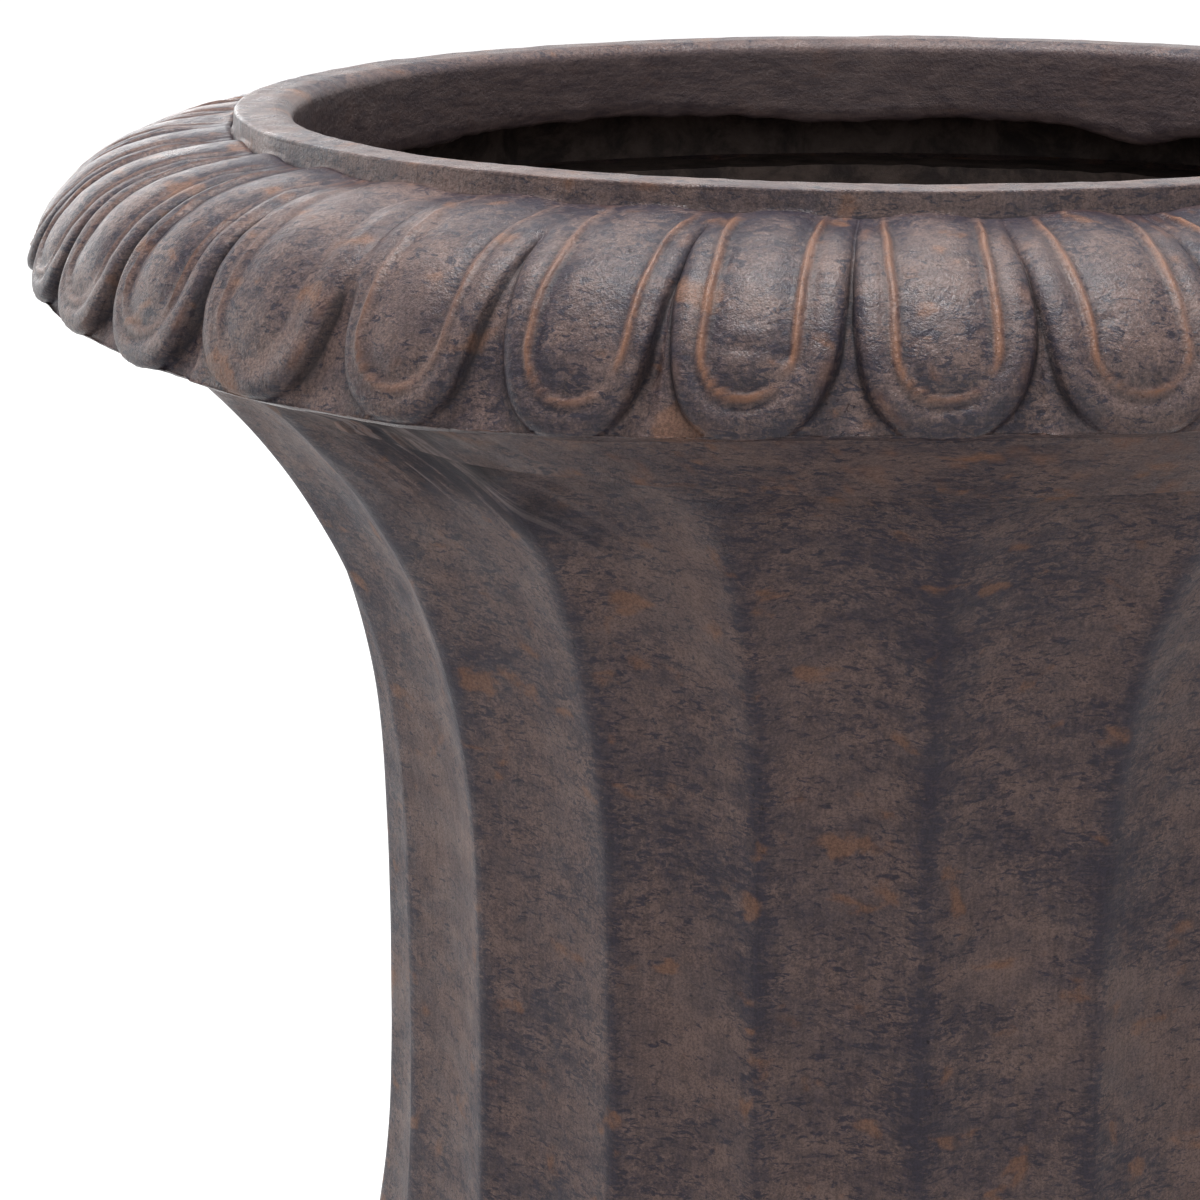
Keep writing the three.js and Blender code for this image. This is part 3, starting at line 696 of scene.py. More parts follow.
def lobe_relief(places, down):
    """Height of the carving over the plain roll, how worn and slate-stained it is, and where shade is painted
    into it.
    """
    radius = np.hypot(places[:, 0], places[:, 1])
    angle = np.arctan2(places[:, 1], places[:, 0])
    number, share, _ = lobe_places(angle)
    half = radius * math.pi / LOBES
    traits = LobeTraits
    across = share * half
    tip = TIP_END + traits.tip_shift[number]
    edge = inside_outline(across, down, lobe_half(radius, down, number), TIP_START, tip, TIP_FULLNESS)
    filled = traits.filled[np.where(across > 0, number, number - 1)]
    open_valley = smooth(down, filled - 5 * MM, filled + 6 * MM)
    ground = np.interp(down, GROUND_DOWN, GROUND_DEPTH) * traits.depth[number] * open_valley
    shoulder = np.sqrt(1 - (1 - np.clip(edge / SHOULDER, 0, 1)) ** 2)
    height = -ground * (1 - shoulder)
    valley = np.clip(-edge / (7 * MM), 0, 1)
    height = height - 0.9 * MM * valley * (1 - valley) * smooth(down, 30 * MM, 45 * MM)
    height = height - 0.35 * MM * (across / half) ** 2 * open_valley
    rounded = np.sin(math.pi * np.clip(edge / (9.5 * MM), 0, 1))
    height = height + BAND_CROWN * rounded * smooth(down, -14 * MM, 2 * MM)

    off = across - traits.bead_shift[number]
    bead_half = BEAD_HALF_WIDTH + traits.bead_size[number]
    below = np.clip(down - BEAD_BEND, 0, None)
    from_bead = np.hypot(off, below) - bead_half
    corner = np.degrees(np.arctan2(below, off * traits.gap_side[number]))
    gap = hump(corner - 38, 20) * traits.gap_depth[number] * smooth(down, 36 * MM, 43 * MM)
    strength = traits.faint[number] * (1 - np.clip(gap, 0, 1)) * smooth(edge, 0.5 * MM, 3 * MM)
    strength = strength * (0.25 + 0.75 * smooth(down, -17 * MM, -8 * MM)) * (0.55 + 0.45 * open_valley)
    strength = strength * (0.85 + 0.25 * unevenness(places, 6 * MM, 2, 2.0))
    bead = hump(from_bead, BEAD_ROUND)
    beside = hump(np.abs(from_bead) - 2.1 * MM, 1.1 * MM)
    panel = np.clip(-from_bead / bead_half, 0, 1)
    height = height + strength * (BEAD_HEIGHT * bead - 0.65 * MM * beside) + 1.2 * MM * panel * (2 - panel)

    for lobe, place_across, place_down, reach_across, reach_down, deep in DENTS:
        near = (number == lobe) & (np.abs(down - place_down * MM) < 3 * reach_down * MM)
        dent = hump(across[near] - place_across * MM, reach_across * MM)
        dent = dent * hump(down[near] - place_down * MM, reach_down * MM)
        height[near] -= deep * MM * dent

    top_line = 18.4 * MM + 0.9 * MM * unevenness(places, 8 * MM, 2, 12.0)
    top_edge = hump(down + top_line, 0.9 * MM) * (0.3 + 0.7 * smooth(traits.faint[number], 0.4, 0.9))
    top_edge = top_edge * smooth(unevenness(places, 20 * MM, 2, 41.0), -0.25, 0.35)
    ledge = hump(down - 61.5 * MM, 1.0 * MM) * smooth(unevenness(places, 14 * MM, 2, 6.0), -0.2, 0.6)
    height = height + 0.5 * MM * top_edge
    rubbed = (0.55 + 0.45 * smooth(unevenness(places, 16 * MM, 3, 15.0), -0.4, 0.2)) * traits.rubbed[number]
    worn = rubbed * (1.4 * strength * hump(from_bead, 0.8 * MM) + 0.45 * top_edge + 0.5 * ledge)
    patches = smooth(unevenness(places, 12 * MM, 2, 16.0), 0.15, 0.7)
    worn = worn + 0.4 * hump(edge - 2.2 * MM, 1.2 * MM) * patches
    # Painted shade: dark lines along the lobe outlines where the ground is deep, beside the step at the
    # lobes' tops and in the grooves beside the beads
    crease_shade = 0.9 * hump(edge, 0.75 * MM) * smooth(ground, 0.6 * MM, 1.6 * MM)
    crease_shade = crease_shade * smooth(62 * MM - down, 0, 10 * MM)
    crease_shade = crease_shade + 0.6 * hump(down + top_line + 1.4 * MM, 0.8 * MM)
    crease_shade = crease_shade + 0.5 * strength * hump(np.abs(from_bead) - 1.6 * MM, 0.5 * MM)
    stained = 0.8 * hump(down + 19 * MM, 13 * MM) + 0.5 * hump(edge - 1.5 * MM, 3 * MM)
    stained = stained + 0.7 * hump(from_bead + 3.5 * MM, 3 * MM) * strength - 0.6 * bead
    return height, np.clip(worn, 0, 1), np.clip(crease_shade, 0, 1), stained


def rim_ring():
    points, down, columns = rim_outline()
    shell = spun(points, LOBE_COLUMNS, LOBES, down=down, columns=columns)
    bmesh.ops.rotate(shell, verts=shell.verts, cent=(0, 0, 0), matrix=Matrix.Rotation(LOBE_TURN, 3, "Z"))
    piece = as_object(shell, "rim_casting", RIM_SKIN, sharp=60)
    mesh = piece.data
    down = layer_values(mesh, "down")
    write(mesh, crowd_columns(read(mesh), down))
    places, normals = read(mesh), read(mesh, "normal")
    radius = np.hypot(places[:, 0], places[:, 1])
    carved = down > -0.5
    height, worn, crease_shade, stained = (np.zeros(len(down)) for _ in range(4))
    height[carved], worn[carved], crease_shade[carved], stained[carved] = lobe_relief(places[carved], down[carved])
    height[carved] *= smooth(80 * MM - down[carved], 0, 12 * MM)

    inside = (~carved) & (radius > LIP_INNER + 0.5 * MM) & (places[:, 2] < ROLL_CREST)
    rough = unevenness(places[inside], 9 * MM, 3, 3.0)
    behind_skirt = smooth(radius[inside], LIP_INNER + SKIRT_WALL - 2 * MM, LIP_INNER + 14 * MM)
    height[inside] += 1.1 * MM * rough * behind_skirt
    height += 0.3 * MM * unevenness(places, 30 * MM, 2, 5.0) + 0.14 * MM * unevenness(places, 5 * MM, 2, 5.5)
    height -= 0.3 * MM * smooth(places[:, 2], LIP - 3 * MM, LIP) * (radius < LIP_OUTER + MM)
    wander = 0.9 * MM * unevenness(places, 24 * MM, 2, 4.0) * carved
    wander = wander + carved * LobeTraits.lean[lobe_places(np.arctan2(places[:, 1], places[:, 0]))[0]] * 0.4
    angle = np.degrees(np.arctan2(places[:, 1], places[:, 0])) % 360
    wander = wander + np.interp(angle, SLIDE_ANGLE, SLIDE)
    along = np.column_stack([-places[:, 1], places[:, 0], np.zeros(len(places))]) / radius[:, None]
    places = places + normals * height[:, None] + along * wander[:, None]
    angle = np.degrees(np.arctan2(places[:, 1], places[:, 0])) % 360
    seated = (~carved) & (radius > 228.2 * MM) & (places[:, 2] < RIM_SEAT + 7.5 * MM)
    hanging = np.where(seated, 1, smooth(down, 24 * MM, 56 * MM))
    at_joint = np.where(seated, 1, smooth(down, 70 * MM, 78 * MM))
    # Painted shade along the joint's open stretch at the left of the front, under the roll and on the seat
    crease_shade = crease_shade + 0.9 * at_joint * smooth(angle, 202, 214) * (1 - smooth(angle, 238, 256))
    places[:, 2] -= np.interp(angle, SAG_ANGLE, SAG) * hanging
    foot_rows = (radius < LIP_INNER + SKIRT_WALL + 0.5 * MM) & (places[:, 2] < LIP - 22 * MM) & (~carved)
    wave = unevenness(np.column_stack([places[:, 0], places[:, 1], np.zeros(len(places))]), 42 * MM, 2, 8.0)
    dip = 3 * MM * hump(angle - 128, 14) - 7 * MM * hump(angle - 61, 6) - 2 * MM * hump(angle - 95, 7)
    wave = 1.5 * MM * wave + dip + 1.2 * MM * unevenness(places, 9 * MM, 2, 9.5)
    places[foot_rows, 2] += wave[foot_rows]
    places[:, 2] = np.clip(places[:, 2], RIM_SEAT, LIP)
    write(mesh, places)
    on_lip = smooth(places[:, 2], LIP - 1.4 * MM, LIP) * (radius < LIP_OUTER + MM)
    keep(mesh, "worn", worn)
    keep(mesh, "crease_shade", crease_shade)
    keep(mesh, "gathered", stained)
    keep(mesh, "pitted", 0.5 * carved)
    keep(mesh, "inside", inside & (radius > LIP_INNER + 3 * MM))
    skirt = (radius < LIP_INNER + 4 * MM) & ~carved
    keep(mesh, "plain", 0.85 * skirt * smooth(LIP - places[:, 2], 0, 6 * MM))
    keep(mesh, "brushed", np.clip(on_lip + smooth(down, 62 * MM, 70 * MM), 0, 1))
    stands_for(piece, "casting", "rim_ring")


# ------------------------------------------------------------------ bell
def bell_radius(height):
    above = np.clip((height - WAIST) / (BELL_TOP - WAIST), 0, None)
    below = np.clip((WAIST - height) / (WAIST - BELL_FOOT), 0, None)
    opening = (BELL_TOP_RADIUS - BELL_WAIST_RADIUS) * above ** FLARE_TOP
    return BELL_WAIST_RADIUS + opening + (BELL_FOOT_RADIUS - BELL_WAIST_RADIUS) * below ** FLARE_FOOT


def bell_outline():
    outside, belly, within = 1.0, 2.0, 3.0
    points, kinds = [], []

    def section(pairs, kind):
        points.extend(pairs)
        kinds.extend([kind] * len(pairs))

    section([(BOLT_HOLE, BOWL_FLOOR)], 0.0)
    section(stretch((FLOOR_INSET, BOWL_FLOOR), (CAP_RADIUS, BOWL_FLOOR), 4), 0.0)
    section(arc((CAP_RADIUS, BELLY_TOP), BELLY_RADIUS - CAP_RADIUS, BELLY_TOP - BOWL_FLOOR, -90, 0, 22),
            belly)
    section([(BAND_RADIUS - MM, BELLY_TOP), (BAND_RADIUS, BELLY_TOP + MM), (BAND_RADIUS, BELL_FOOT - MM),
             (BAND_RADIUS - MM, BELL_FOOT)], 0.0)
    rows = 118
    for i in range(rows + 1):
        height = BELL_FOOT + (BELL_TOP - BELL_FOOT) * (1 - (1 - i / rows) ** 1.25)
        section([(float(bell_radius(height)), height)], outside)
    section(stretch((BELL_TOP_RADIUS - 3 * MM, BELL_TOP), (BELL_MOUTH, BELL_TOP), 2), 0.0)
    inner_rows = 44
    for i in range(inner_rows):
        height = BELL_TOP - (BELL_TOP - BELL_FOOT) * (i / inner_rows) ** 1.2
        section([(float(bell_radius(height)) - BELL_WALL, height)], within)
    inner = BELL_FOOT_RADIUS - BELL_WALL
    section(arc((FLOOR_RADIUS, BELL_FOOT), inner - FLOOR_RADIUS, BELL_FOOT - INNER_FLOOR, 0, -90, 12), within)
    section([(FLOOR_INSET, INNER_FLOOR), (BOLT_HOLE, INNER_FLOOR)], 0.0)
    return points, kinds


def drain_hole(shell):
    """Opens the floor for the drain: both faces are filled anew round the hole, and its wall joins them."""
    rims = []

    def on_floor(item, level):
        return all(abs(v.co.z - level) < 1e-6 and v.co.xy.length < FLOOR_INSET + 1e-5 for v in item.verts)

    for level in (BOWL_FLOOR, INNER_FLOOR):
        ring = [face for face in shell.faces if on_floor(face, level)]
        bmesh.ops.delete(shell, geom=ring, context="FACES")
        border = [edge for edge in shell.edges if edge.is_boundary and on_floor(edge, level)]
        circle = bmesh.ops.create_circle(shell, segments=48, radius=DRAIN_HOLE,
                                         matrix=Matrix.Translation((0, DRAIN_Y, level)))["verts"]
        rim = list({edge for vertex in circle for edge in vertex.link_edges})
        bmesh.ops.triangle_fill(shell, use_beauty=True, edges=border + rim, normal=(0, 0, 1))
        rims += rim
    bmesh.ops.bridge_loops(shell, edges=rims)


def flute_relief(places, kind):
    """How far the flutes and the gadroons below the band lie under the plain bell."""
    radius = np.hypot(places[:, 0], places[:, 1])
    angle = np.arctan2(places[:, 1], places[:, 0])
    height = places[:, 2]
    wander = 1.1 * MM * unevenness(places, 55 * MM, 2, 1.0, 0.5) / np.maximum(radius, 0.05)
    slide = np.interp(np.degrees(angle) % 360, ARRIS_ANGLE, ARRIS_SLIDE)
    turns = (angle + wander - np.radians(slide) - FLUTE_TURN) * FLUTES / math.tau
    across = 2 * np.abs(turns - np.round(turns))
    near_crease = hump((np.degrees(angle) % 360) - CREASE_AZIMUTH, 17)
    run_in = FLUTE_RUN_IN - 13 * MM * near_crease
    rounding = 0.07
    across = (np.sqrt(across ** 2 + rounding ** 2) - rounding) / (math.sqrt(1 + rounding ** 2) - rounding)
    hollow = 1 - (1 - across) ** 2
    scoop = 14 * MM * (1 - across) ** 2
    top = np.clip((BELL_TOP - 2 * MM - scoop * (1 - 0.8 * near_crease) - height) / run_in, 0, 1)
    foot = np.clip((height - BELL_FOOT - scoop) / FLUTE_RUN_IN, 0, 1)
    depth = FLUTE_DEPTH * hollow * np.sin(math.pi / 2 * np.minimum(top, foot))
    swell = 1 - across ** 2
    share = np.clip((BELLY_TOP - height) / (BELLY_TOP - BOWL_FLOOR), 0, 1)
    gadroon = BELLY_RELIEF * swell * np.sin(math.pi * share)
    arris = (0.4 * hump(across, 0.2) + 0.8 * hump(across, 0.05)) * smooth(np.minimum(top, foot), 0, 0.8)
    return np.where(kind == 1, depth, 0) + np.where(kind == 2, gadroon, 0), arris


def fluted_bell():
    points, kinds = bell_outline()
    shell = spun(points, 22, FLUTES, down=kinds)
    drain_hole(shell)
    bmesh.ops.rotate(shell, verts=shell.verts, cent=(0, 0, 0), matrix=Matrix.Rotation(FLUTE_TURN, 3, "Z"))
    piece = as_object(shell, "bell_casting", BELL_SKIN, sharp=60)
    mesh = piece.data
    kind = np.round(layer_values(mesh, "down"))
    places, normals = read(mesh), read(mesh, "normal")
    radius = np.hypot(places[:, 0], places[:, 1])
    depth, arris = flute_relief(places, kind)
    inner = kind == 3
    lift = 0.3 * MM * unevenness(places, 45 * MM, 2, 2.5)
    lift[inner] += 1.3 * MM * unevenness(places[inner], 14 * MM, 3, 6.5)
    lift = lift * smooth(radius, FLOOR_RADIUS, FLOOR_RADIUS + 20 * MM)
    lift = lift * smooth(BELL_TOP - places[:, 2], 0, 8 * MM)
    places = places + normals * (lift - depth)[:, None]
    places[:, 2] = np.clip(places[:, 2], BOWL_FLOOR, BELL_TOP)
    write(mesh, places)
    keep(mesh, "worn", np.zeros(len(kind)))
    angle = np.degrees(np.arctan2(places[:, 1], places[:, 0])) % 360
    below = (BELL_TOP - places[:, 2]) / MM
    ragged = 0.5 + unevenness(places, 11 * MM, 3, 47.0)
    # Painted shade along the joint's crease under the rim, and a painted shadow running down the bell from it
    # at the left of the front
    crease = smooth(angle, 204, 214) * (1 - smooth(angle, 236, 252)) * hump(below, 11)
    shadow = hump(angle - SHADOW_AZIMUTH - 0.3 * (below - 10), 6) * (1 - smooth(below, 16, 42))
    keep(mesh, "crease_shade", np.clip((0.9 * crease + 1.1 * shadow) * ragged, 0, 1) * (kind == 1))
    keep(mesh, "gathered", 0.8 * arris * (kind == 1))
    keep(mesh, "pitted", arris * (kind == 1))
    keep(mesh, "inside", inner | ((kind == 0) & (places[:, 2] > INNER_FLOOR - MM) & (radius < 0.1)))
    keep(mesh, "brushed", smooth(places[:, 2], BELL_TOP - 30 * MM, BELL_TOP - 8 * MM) * (kind == 1))
    edge = 24 + 14 * unevenness(places, 30 * MM, 2, 44.0)
    strokes_end = 1 - smooth(below, edge, edge + 22)
    keep(mesh, "stroked", hump(angle - STROKE_AZIMUTH - 0.1 * below, 9) * strokes_end)
    stands_for(piece, "casting", "bell_body")


# ------------------------------------------------------------------ foot
def foot_outline():
    """The section of the hollow foot, from the plinth's underside up outside and down inside."""
    low, top = FOOT_LOW.z, FOOT_LOW.z + PLINTH_HEIGHT
    edge = 1.6 * MM
    points = stretch((PLINTH_HOLLOW, low), (PLINTH_HALF - edge, low), 5)
    points += arc((PLINTH_HALF - edge, low + edge), edge, edge, -90, 0, 3)
    points += stretch((PLINTH_HALF, low + 3.4 * MM), (PLINTH_HALF, top - edge), 6)
    points += arc((PLINTH_HALF - edge, top - edge), edge, edge, 0, 90, 3)
    points += stretch((PLINTH_HALF - 4 * MM, top), (TORUS_CENTRE + MM, top), 6)
    points += arc((TORUS_CENTRE, top + TORUS_HALF), TORUS_HALF, TORUS_HALF, -84, 86, 16)
    fillet = top + 2 * TORUS_HALF
    points += [(SCOTIA_FOOT - 0.6 * MM, fillet + 0.1 * MM), (SCOTIA_FOOT, fillet + 0.8 * MM),
               (SCOTIA_FOOT, fillet + 3.2 * MM)]
    centre = (SCOTIA_FOOT, RING_FOOT)
    points += arc(centre, SCOTIA_FOOT - STEM_RADIUS, RING_FOOT - fillet - 4 * MM, 268, 180, 30)
    ring = RING_HEIGHT / 2
    points += [(STEM_RADIUS + MM, RING_FOOT + 0.2 * MM)]
    points += arc((RING_RADIUS - ring, RING_FOOT + ring), ring, ring, -88, 88, 10)
    points += [(CAP_RADIUS + 0.4 * MM, RING_FOOT + RING_HEIGHT + 0.2 * MM),
               (CAP_RADIUS, RING_FOOT + RING_HEIGHT + MM)]
    points += stretch((CAP_RADIUS, RING_FOOT + RING_HEIGHT + 2.5 * MM), (CAP_RADIUS, FOOT_HIGH.z - MM), 2)
    points += arc((CAP_RADIUS - MM, FOOT_HIGH.z - MM), MM, MM, 0, 90, 3)
    points += stretch((CAP_RADIUS - 4 * MM, FOOT_HIGH.z), (FOOT_BORE, FOOT_HIGH.z), 5)
    points += stretch((FOOT_BORE, FOOT_HIGH.z), (FOOT_BORE, FOOT_SHELF), 3)
    points += stretch((FOOT_BORE, FOOT_SHELF), (STEM_HOLLOW, FOOT_SHELF), 2)
    points += stretch((STEM_HOLLOW, FOOT_SHELF), (STEM_HOLLOW, fillet), 10)
    points += stretch((STEM_HOLLOW, fillet), (PLINTH_HOLLOW, low + PLINTH_ROOM), 10)
    points += stretch((PLINTH_HOLLOW, low + PLINTH_ROOM), (PLINTH_HOLLOW, low), 4)
    return points


def square_reach(angle, half, sharpness=80):
    """Distance from the axis to the side of a square with slightly rounded corners."""
    return half / (np.abs(np.cos(angle)) ** sharpness + np.abs(np.sin(angle)) ** sharpness) ** (1 / sharpness)


def pedestal_foot():
    shell = spun(foot_outline(), 64, 4)
    piece = as_object(shell, "foot_casting", FOOT_SKIN, sharp=50)
    mesh = piece.data
    places = read(mesh)
    angle = np.arctan2(places[:, 1], places[:, 0])
    angle = angle + 0.75 * np.sin(4 * angle) / 4
    radius = np.hypot(places[:, 0], places[:, 1])
    height = places[:, 2]
    plinth_top = FOOT_LOW.z + PLINTH_HEIGHT
    in_plinth = height < plinth_top + 0.2 * MM
    start = np.where(height > FOOT_LOW.z + MM, TORUS_CENTRE, PLINTH_HOLLOW)
    share = np.clip((radius - start) / (PLINTH_HALF - start), 0, 1) * in_plinth
    radius = radius + share * (square_reach(angle, radius) - radius)
    places = np.column_stack([radius * np.cos(angle), radius * np.sin(angle), height])
    write(mesh, places)

    normals = read(mesh, "normal")
    within = (height < FOOT_HIGH.z - 0.5 * MM) & (radius < np.interp(
        height, [FOOT_LOW.z + PLINTH_ROOM, plinth_top + 2 * TORUS_HALF, FOOT_HIGH.z],
        [PLINTH_HOLLOW, STEM_HOLLOW, STEM_HOLLOW]) + MM)
    reach = np.maximum(np.abs(places[:, 0]), np.abs(places[:, 1]))
    side = reach - PLINTH_HALF + 3 * MM
    plinth_edge = hump(height - plinth_top, 1.6 * MM) + hump(height - FOOT_LOW.z, 1.6 * MM)
    plinth_edge = plinth_edge * smooth(side, 0, 2 * MM)
    corner = smooth(np.minimum(np.abs(places[:, 0]), np.abs(places[:, 1])), PLINTH_HALF - 8 * MM, PLINTH_HALF)
    plinth_edge = np.clip(plinth_edge + corner * (side > 0), 0, 1)
    chips = smooth(unevenness(places, 6 * MM, 2, 21.0), 0.15, 0.6)
    chips = chips * smooth(unevenness(places, 26 * MM, 2, 24.0), 0, 0.4)
    lift = 0.25 * MM * unevenness(places, 28 * MM, 2, 13.0) - 0.9 * MM * plinth_edge * chips
    lift = lift - 0.3 * MM * corner
    lift[within] += 0.9 * MM * unevenness(places[within], 12 * MM, 3, 17.0)
    lift = lift * smooth(FOOT_HIGH.z - height, 0, 4 * MM)
    places = places + normals * lift[:, None]
    places[:, 2] = np.maximum(places[:, 2], FOOT_LOW.z)
    limit = PLINTH_HALF
    places[:, :2] = np.clip(places[:, :2], -limit, limit)
    write(mesh, places)
    torus = hump(height - plinth_top - TORUS_HALF, 3 * MM) * (radius > TORUS_CENTRE + 5 * MM)
    ring = hump(height - RING_FOOT - RING_HEIGHT / 2, 2 * MM) * (radius > RING_RADIUS - 3 * MM)
    patches = smooth(unevenness(places, 18 * MM, 2, 19.0), -0.2, 0.5)
    creases = (hump(height - plinth_top - 0.8 * MM, 1.2 * MM) * hump(radius - TORUS_CENTRE - 3 * MM, 5 * MM)
               + hump(height - plinth_top - 2 * TORUS_HALF, 1.0 * MM) * (radius < SCOTIA_FOOT + MM)
               + hump(height - RING_FOOT, 1.0 * MM) * (radius < STEM_RADIUS + 3 * MM)
               + hump(height - RING_FOOT - RING_HEIGHT, 0.9 * MM) * (radius < CAP_RADIUS + 2 * MM))
    worn = np.clip(0.8 * plinth_edge + 0.45 * torus * patches + 0.6 * ring * patches, 0, 1)
    keep(mesh, "worn", worn * ~within)
    # Painted shade in the creases where the plinth, torus, scotia, ring and cap meet
    keep(mesh, "crease_shade", np.clip(0.8 * creases, 0, 1) * ~within)
    keep(mesh, "inside", within)
    keep(mesh, "gathered", 0.5 * creases)
    keep(mesh, "pitted", 0.4 * plinth_edge)
    keep(mesh, "brushed", np.zeros(len(mesh.vertices)))
    stands_for(piece, "casting", "pedestal_foot")


# ------------------------------------------------------------------ seam and seals
def bond_bead():
    """The paste between rim and bell, troweled into a smooth cove that is open to a crease at the left."""
    curve = [(248, 9.4), (246.5, 7.6), (244, 5.9), (241, 4.0), (238, 2.0), (234.8, -0.2), (231.5, -2.4),
             (228.2, -4.8), (224.9, -7.3), (221.9, -9.6), (219, -12.2)]
    seat = [(216, -10), (214.5, -6), (214, -1.2), (214.5, 0.05), (225, 0.3), (229.6, 1.6), (231, 4.6),
            (234, 6.9), (240, 8.2)]
    section = [(radius * MM, RIM_SEAT + height * MM) for radius, height in curve + seat]
    shown = [1.0 if 0 < i < len(curve) - 1 else 0.0 for i in range(len(section))]
    piece = as_object(spun(section, 36, 20, down=shown), "seam_paste", PASTE, sharp=70)
    mesh = piece.data
    places, normals = read(mesh), read(mesh, "normal")
    shown = layer_values(mesh, "down")
    angle = np.degrees(np.arctan2(places[:, 1], places[:, 0])) % 360
    crease = smooth(angle, 200, 212) * (1 - smooth(angle, 234, 248)) + 0.5 * hump(angle - 70, 25)
    ragged = unevenness(places, 7 * MM, 3, 31.0)
    under = places[:, 2] - RIM_SEAT
    sink = crease * (0.9 + 0.6 * ragged) * hump(under + 3 * MM, 1.9 * MM)
    hole = hump(angle - HOLE_AZIMUTH, 1.1) * hump(under + 4 * MM, 2.3 * MM)
    shadow = hump(angle - SHADOW_AZIMUTH, 6) * (1 - smooth(under, 0, 4 * MM)) * (0.6 + 0.6 * ragged)
    open_cove = smooth(angle, 198, 208) * (1 - smooth(angle, 232, 244))
    lift = 0.22 * unevenness(places, 16 * MM, 2, 33.0) - 1.0 * sink - 3 * hole
    places = places + normals * (lift * MM * shown)[:, None]
    drawn_in = np.interp(under / MM, [-12.2, -7, -2.5, 0], [212, 216.5, 223.5, 226]) + 1.2 * ragged
    radius = np.hypot(places[:, 0], places[:, 1])
    shrink = 1 - open_cove * np.clip(radius - drawn_in * MM, 0, None) / radius
    write(mesh, places * np.column_stack([shrink, shrink, np.ones(len(shrink))]))
    keep(mesh, "worn", 0.5 * smooth(ragged, 0.2, 0.8))
    # Painted shade in the crease and the hole, and a painted shadow below the joint at the left of the front
    keep(mesh, "crease_shade", np.clip(1.3 * sink + 1.6 * hole + 0.7 * shadow, 0, 1))
    keep(mesh, "stroked", hump(angle - STROKE_AZIMUTH, 10))
    keep(mesh, "gathered", np.zeros(len(places)))
    keep(mesh, "pitted", np.clip(crease, 0, 1))
    keep(mesh, "inside", np.zeros(len(places)))
    keep(mesh, "brushed", np.ones(len(places)))
    stands_for(piece, "bonding_paste", "rim_bond_bead")


def joint_gasket():
    low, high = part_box("joint_gasket")
    half = (high.z - low.z) / 2
    outer, inner = high.x, 46 * MM
    section = arc((outer - 0.8 * MM, low.z + half), 0.8 * MM, half, -90, 90, 6)
    section += arc((inner + 0.8 * MM, low.z + half), 0.8 * MM, half, 90, 270, 6)
    piece = as_object(spun(section, 24, 6), "foot_gasket", RUBBER, sharp=70)
    stands_for(piece, "rubber", "joint_gasket")


def holed_plate(name, node, material, slot, hole, corner, round_edge):
    """A flat bar or seal with rounded corners, a round hole on the axis and softened edges."""
    low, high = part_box(node)
    shell = bmesh.new()
    bmesh.ops.create_grid(shell, x_segments=1, y_segments=1, size=0.5)
    bmesh.ops.scale(shell, verts=shell.verts, vec=(high.x - low.x, high.y - low.y, 1))
    bmesh.ops.bevel(shell, geom=shell.verts[:], offset=corner, offset_type="OFFSET", segments=8, profile=0.5,
                    affect="VERTICES", material=-1)
    bmesh.ops.delete(shell, geom=shell.faces[:], context="FACES_ONLY")
    bmesh.ops.create_circle(shell, segments=36, radius=hole)
    bmesh.ops.bridge_loops(shell, edges=shell.edges[:])
    raised = bmesh.ops.extrude_face_region(shell, geom=shell.faces[:])["geom"]
    bmesh.ops.translate(shell, verts=[item for item in raised if isinstance(item, bmesh.types.BMVert)],
                        vec=(0, 0, high.z - low.z))
    bmesh.ops.recalc_face_normals(shell, faces=shell.faces)
    rims = [edge for edge in shell.edges if len(edge.link_faces) == 2 and edge.calc_face_angle() > 1.2]
    bmesh.ops.bevel(shell, geom=rims, offset=round_edge, offset_type="OFFSET", segments=3, profile=0.5,
                    affect="EDGES", material=-1, clamp_overlap=True)
    bmesh.ops.translate(shell, verts=shell.verts, vec=(0, 0, low.z))
    stands_for(as_object(shell, name, material, sharp=35), slot, node)


# ------------------------------------------------------------------ tie bolt, washers and nut
def hexagon_reach(angle, half):
    sixth = math.tau / 6
    return half / np.cos((angle + sixth / 2) % sixth - sixth / 2)


def hex_shape(mesh, half, low, high):
    """Turns the widest rows of a spun mesh into a hexagon with its corners chamfered at 30 degrees."""
    places = read(mesh)
    radius = np.hypot(places[:, 0], places[:, 1])
    angle = np.arctan2(places[:, 1], places[:, 0])
    outer = (radius > half - 0.05 * MM) & (places[:, 2] > low - 0.1 * MM) & (places[:, 2] < high + 0.1 * MM)
    reach = np.where(outer, hexagon_reach(angle, radius), radius)
    drop = np.clip(reach - half, 0, None) * math.tan(math.radians(30)) * outer
    at_top = places[:, 2] > (low + high) / 2
    height = places[:, 2] + np.where(at_top, -drop, drop)
    write(mesh, np.column_stack([reach * np.cos(angle), reach * np.sin(angle), height]))


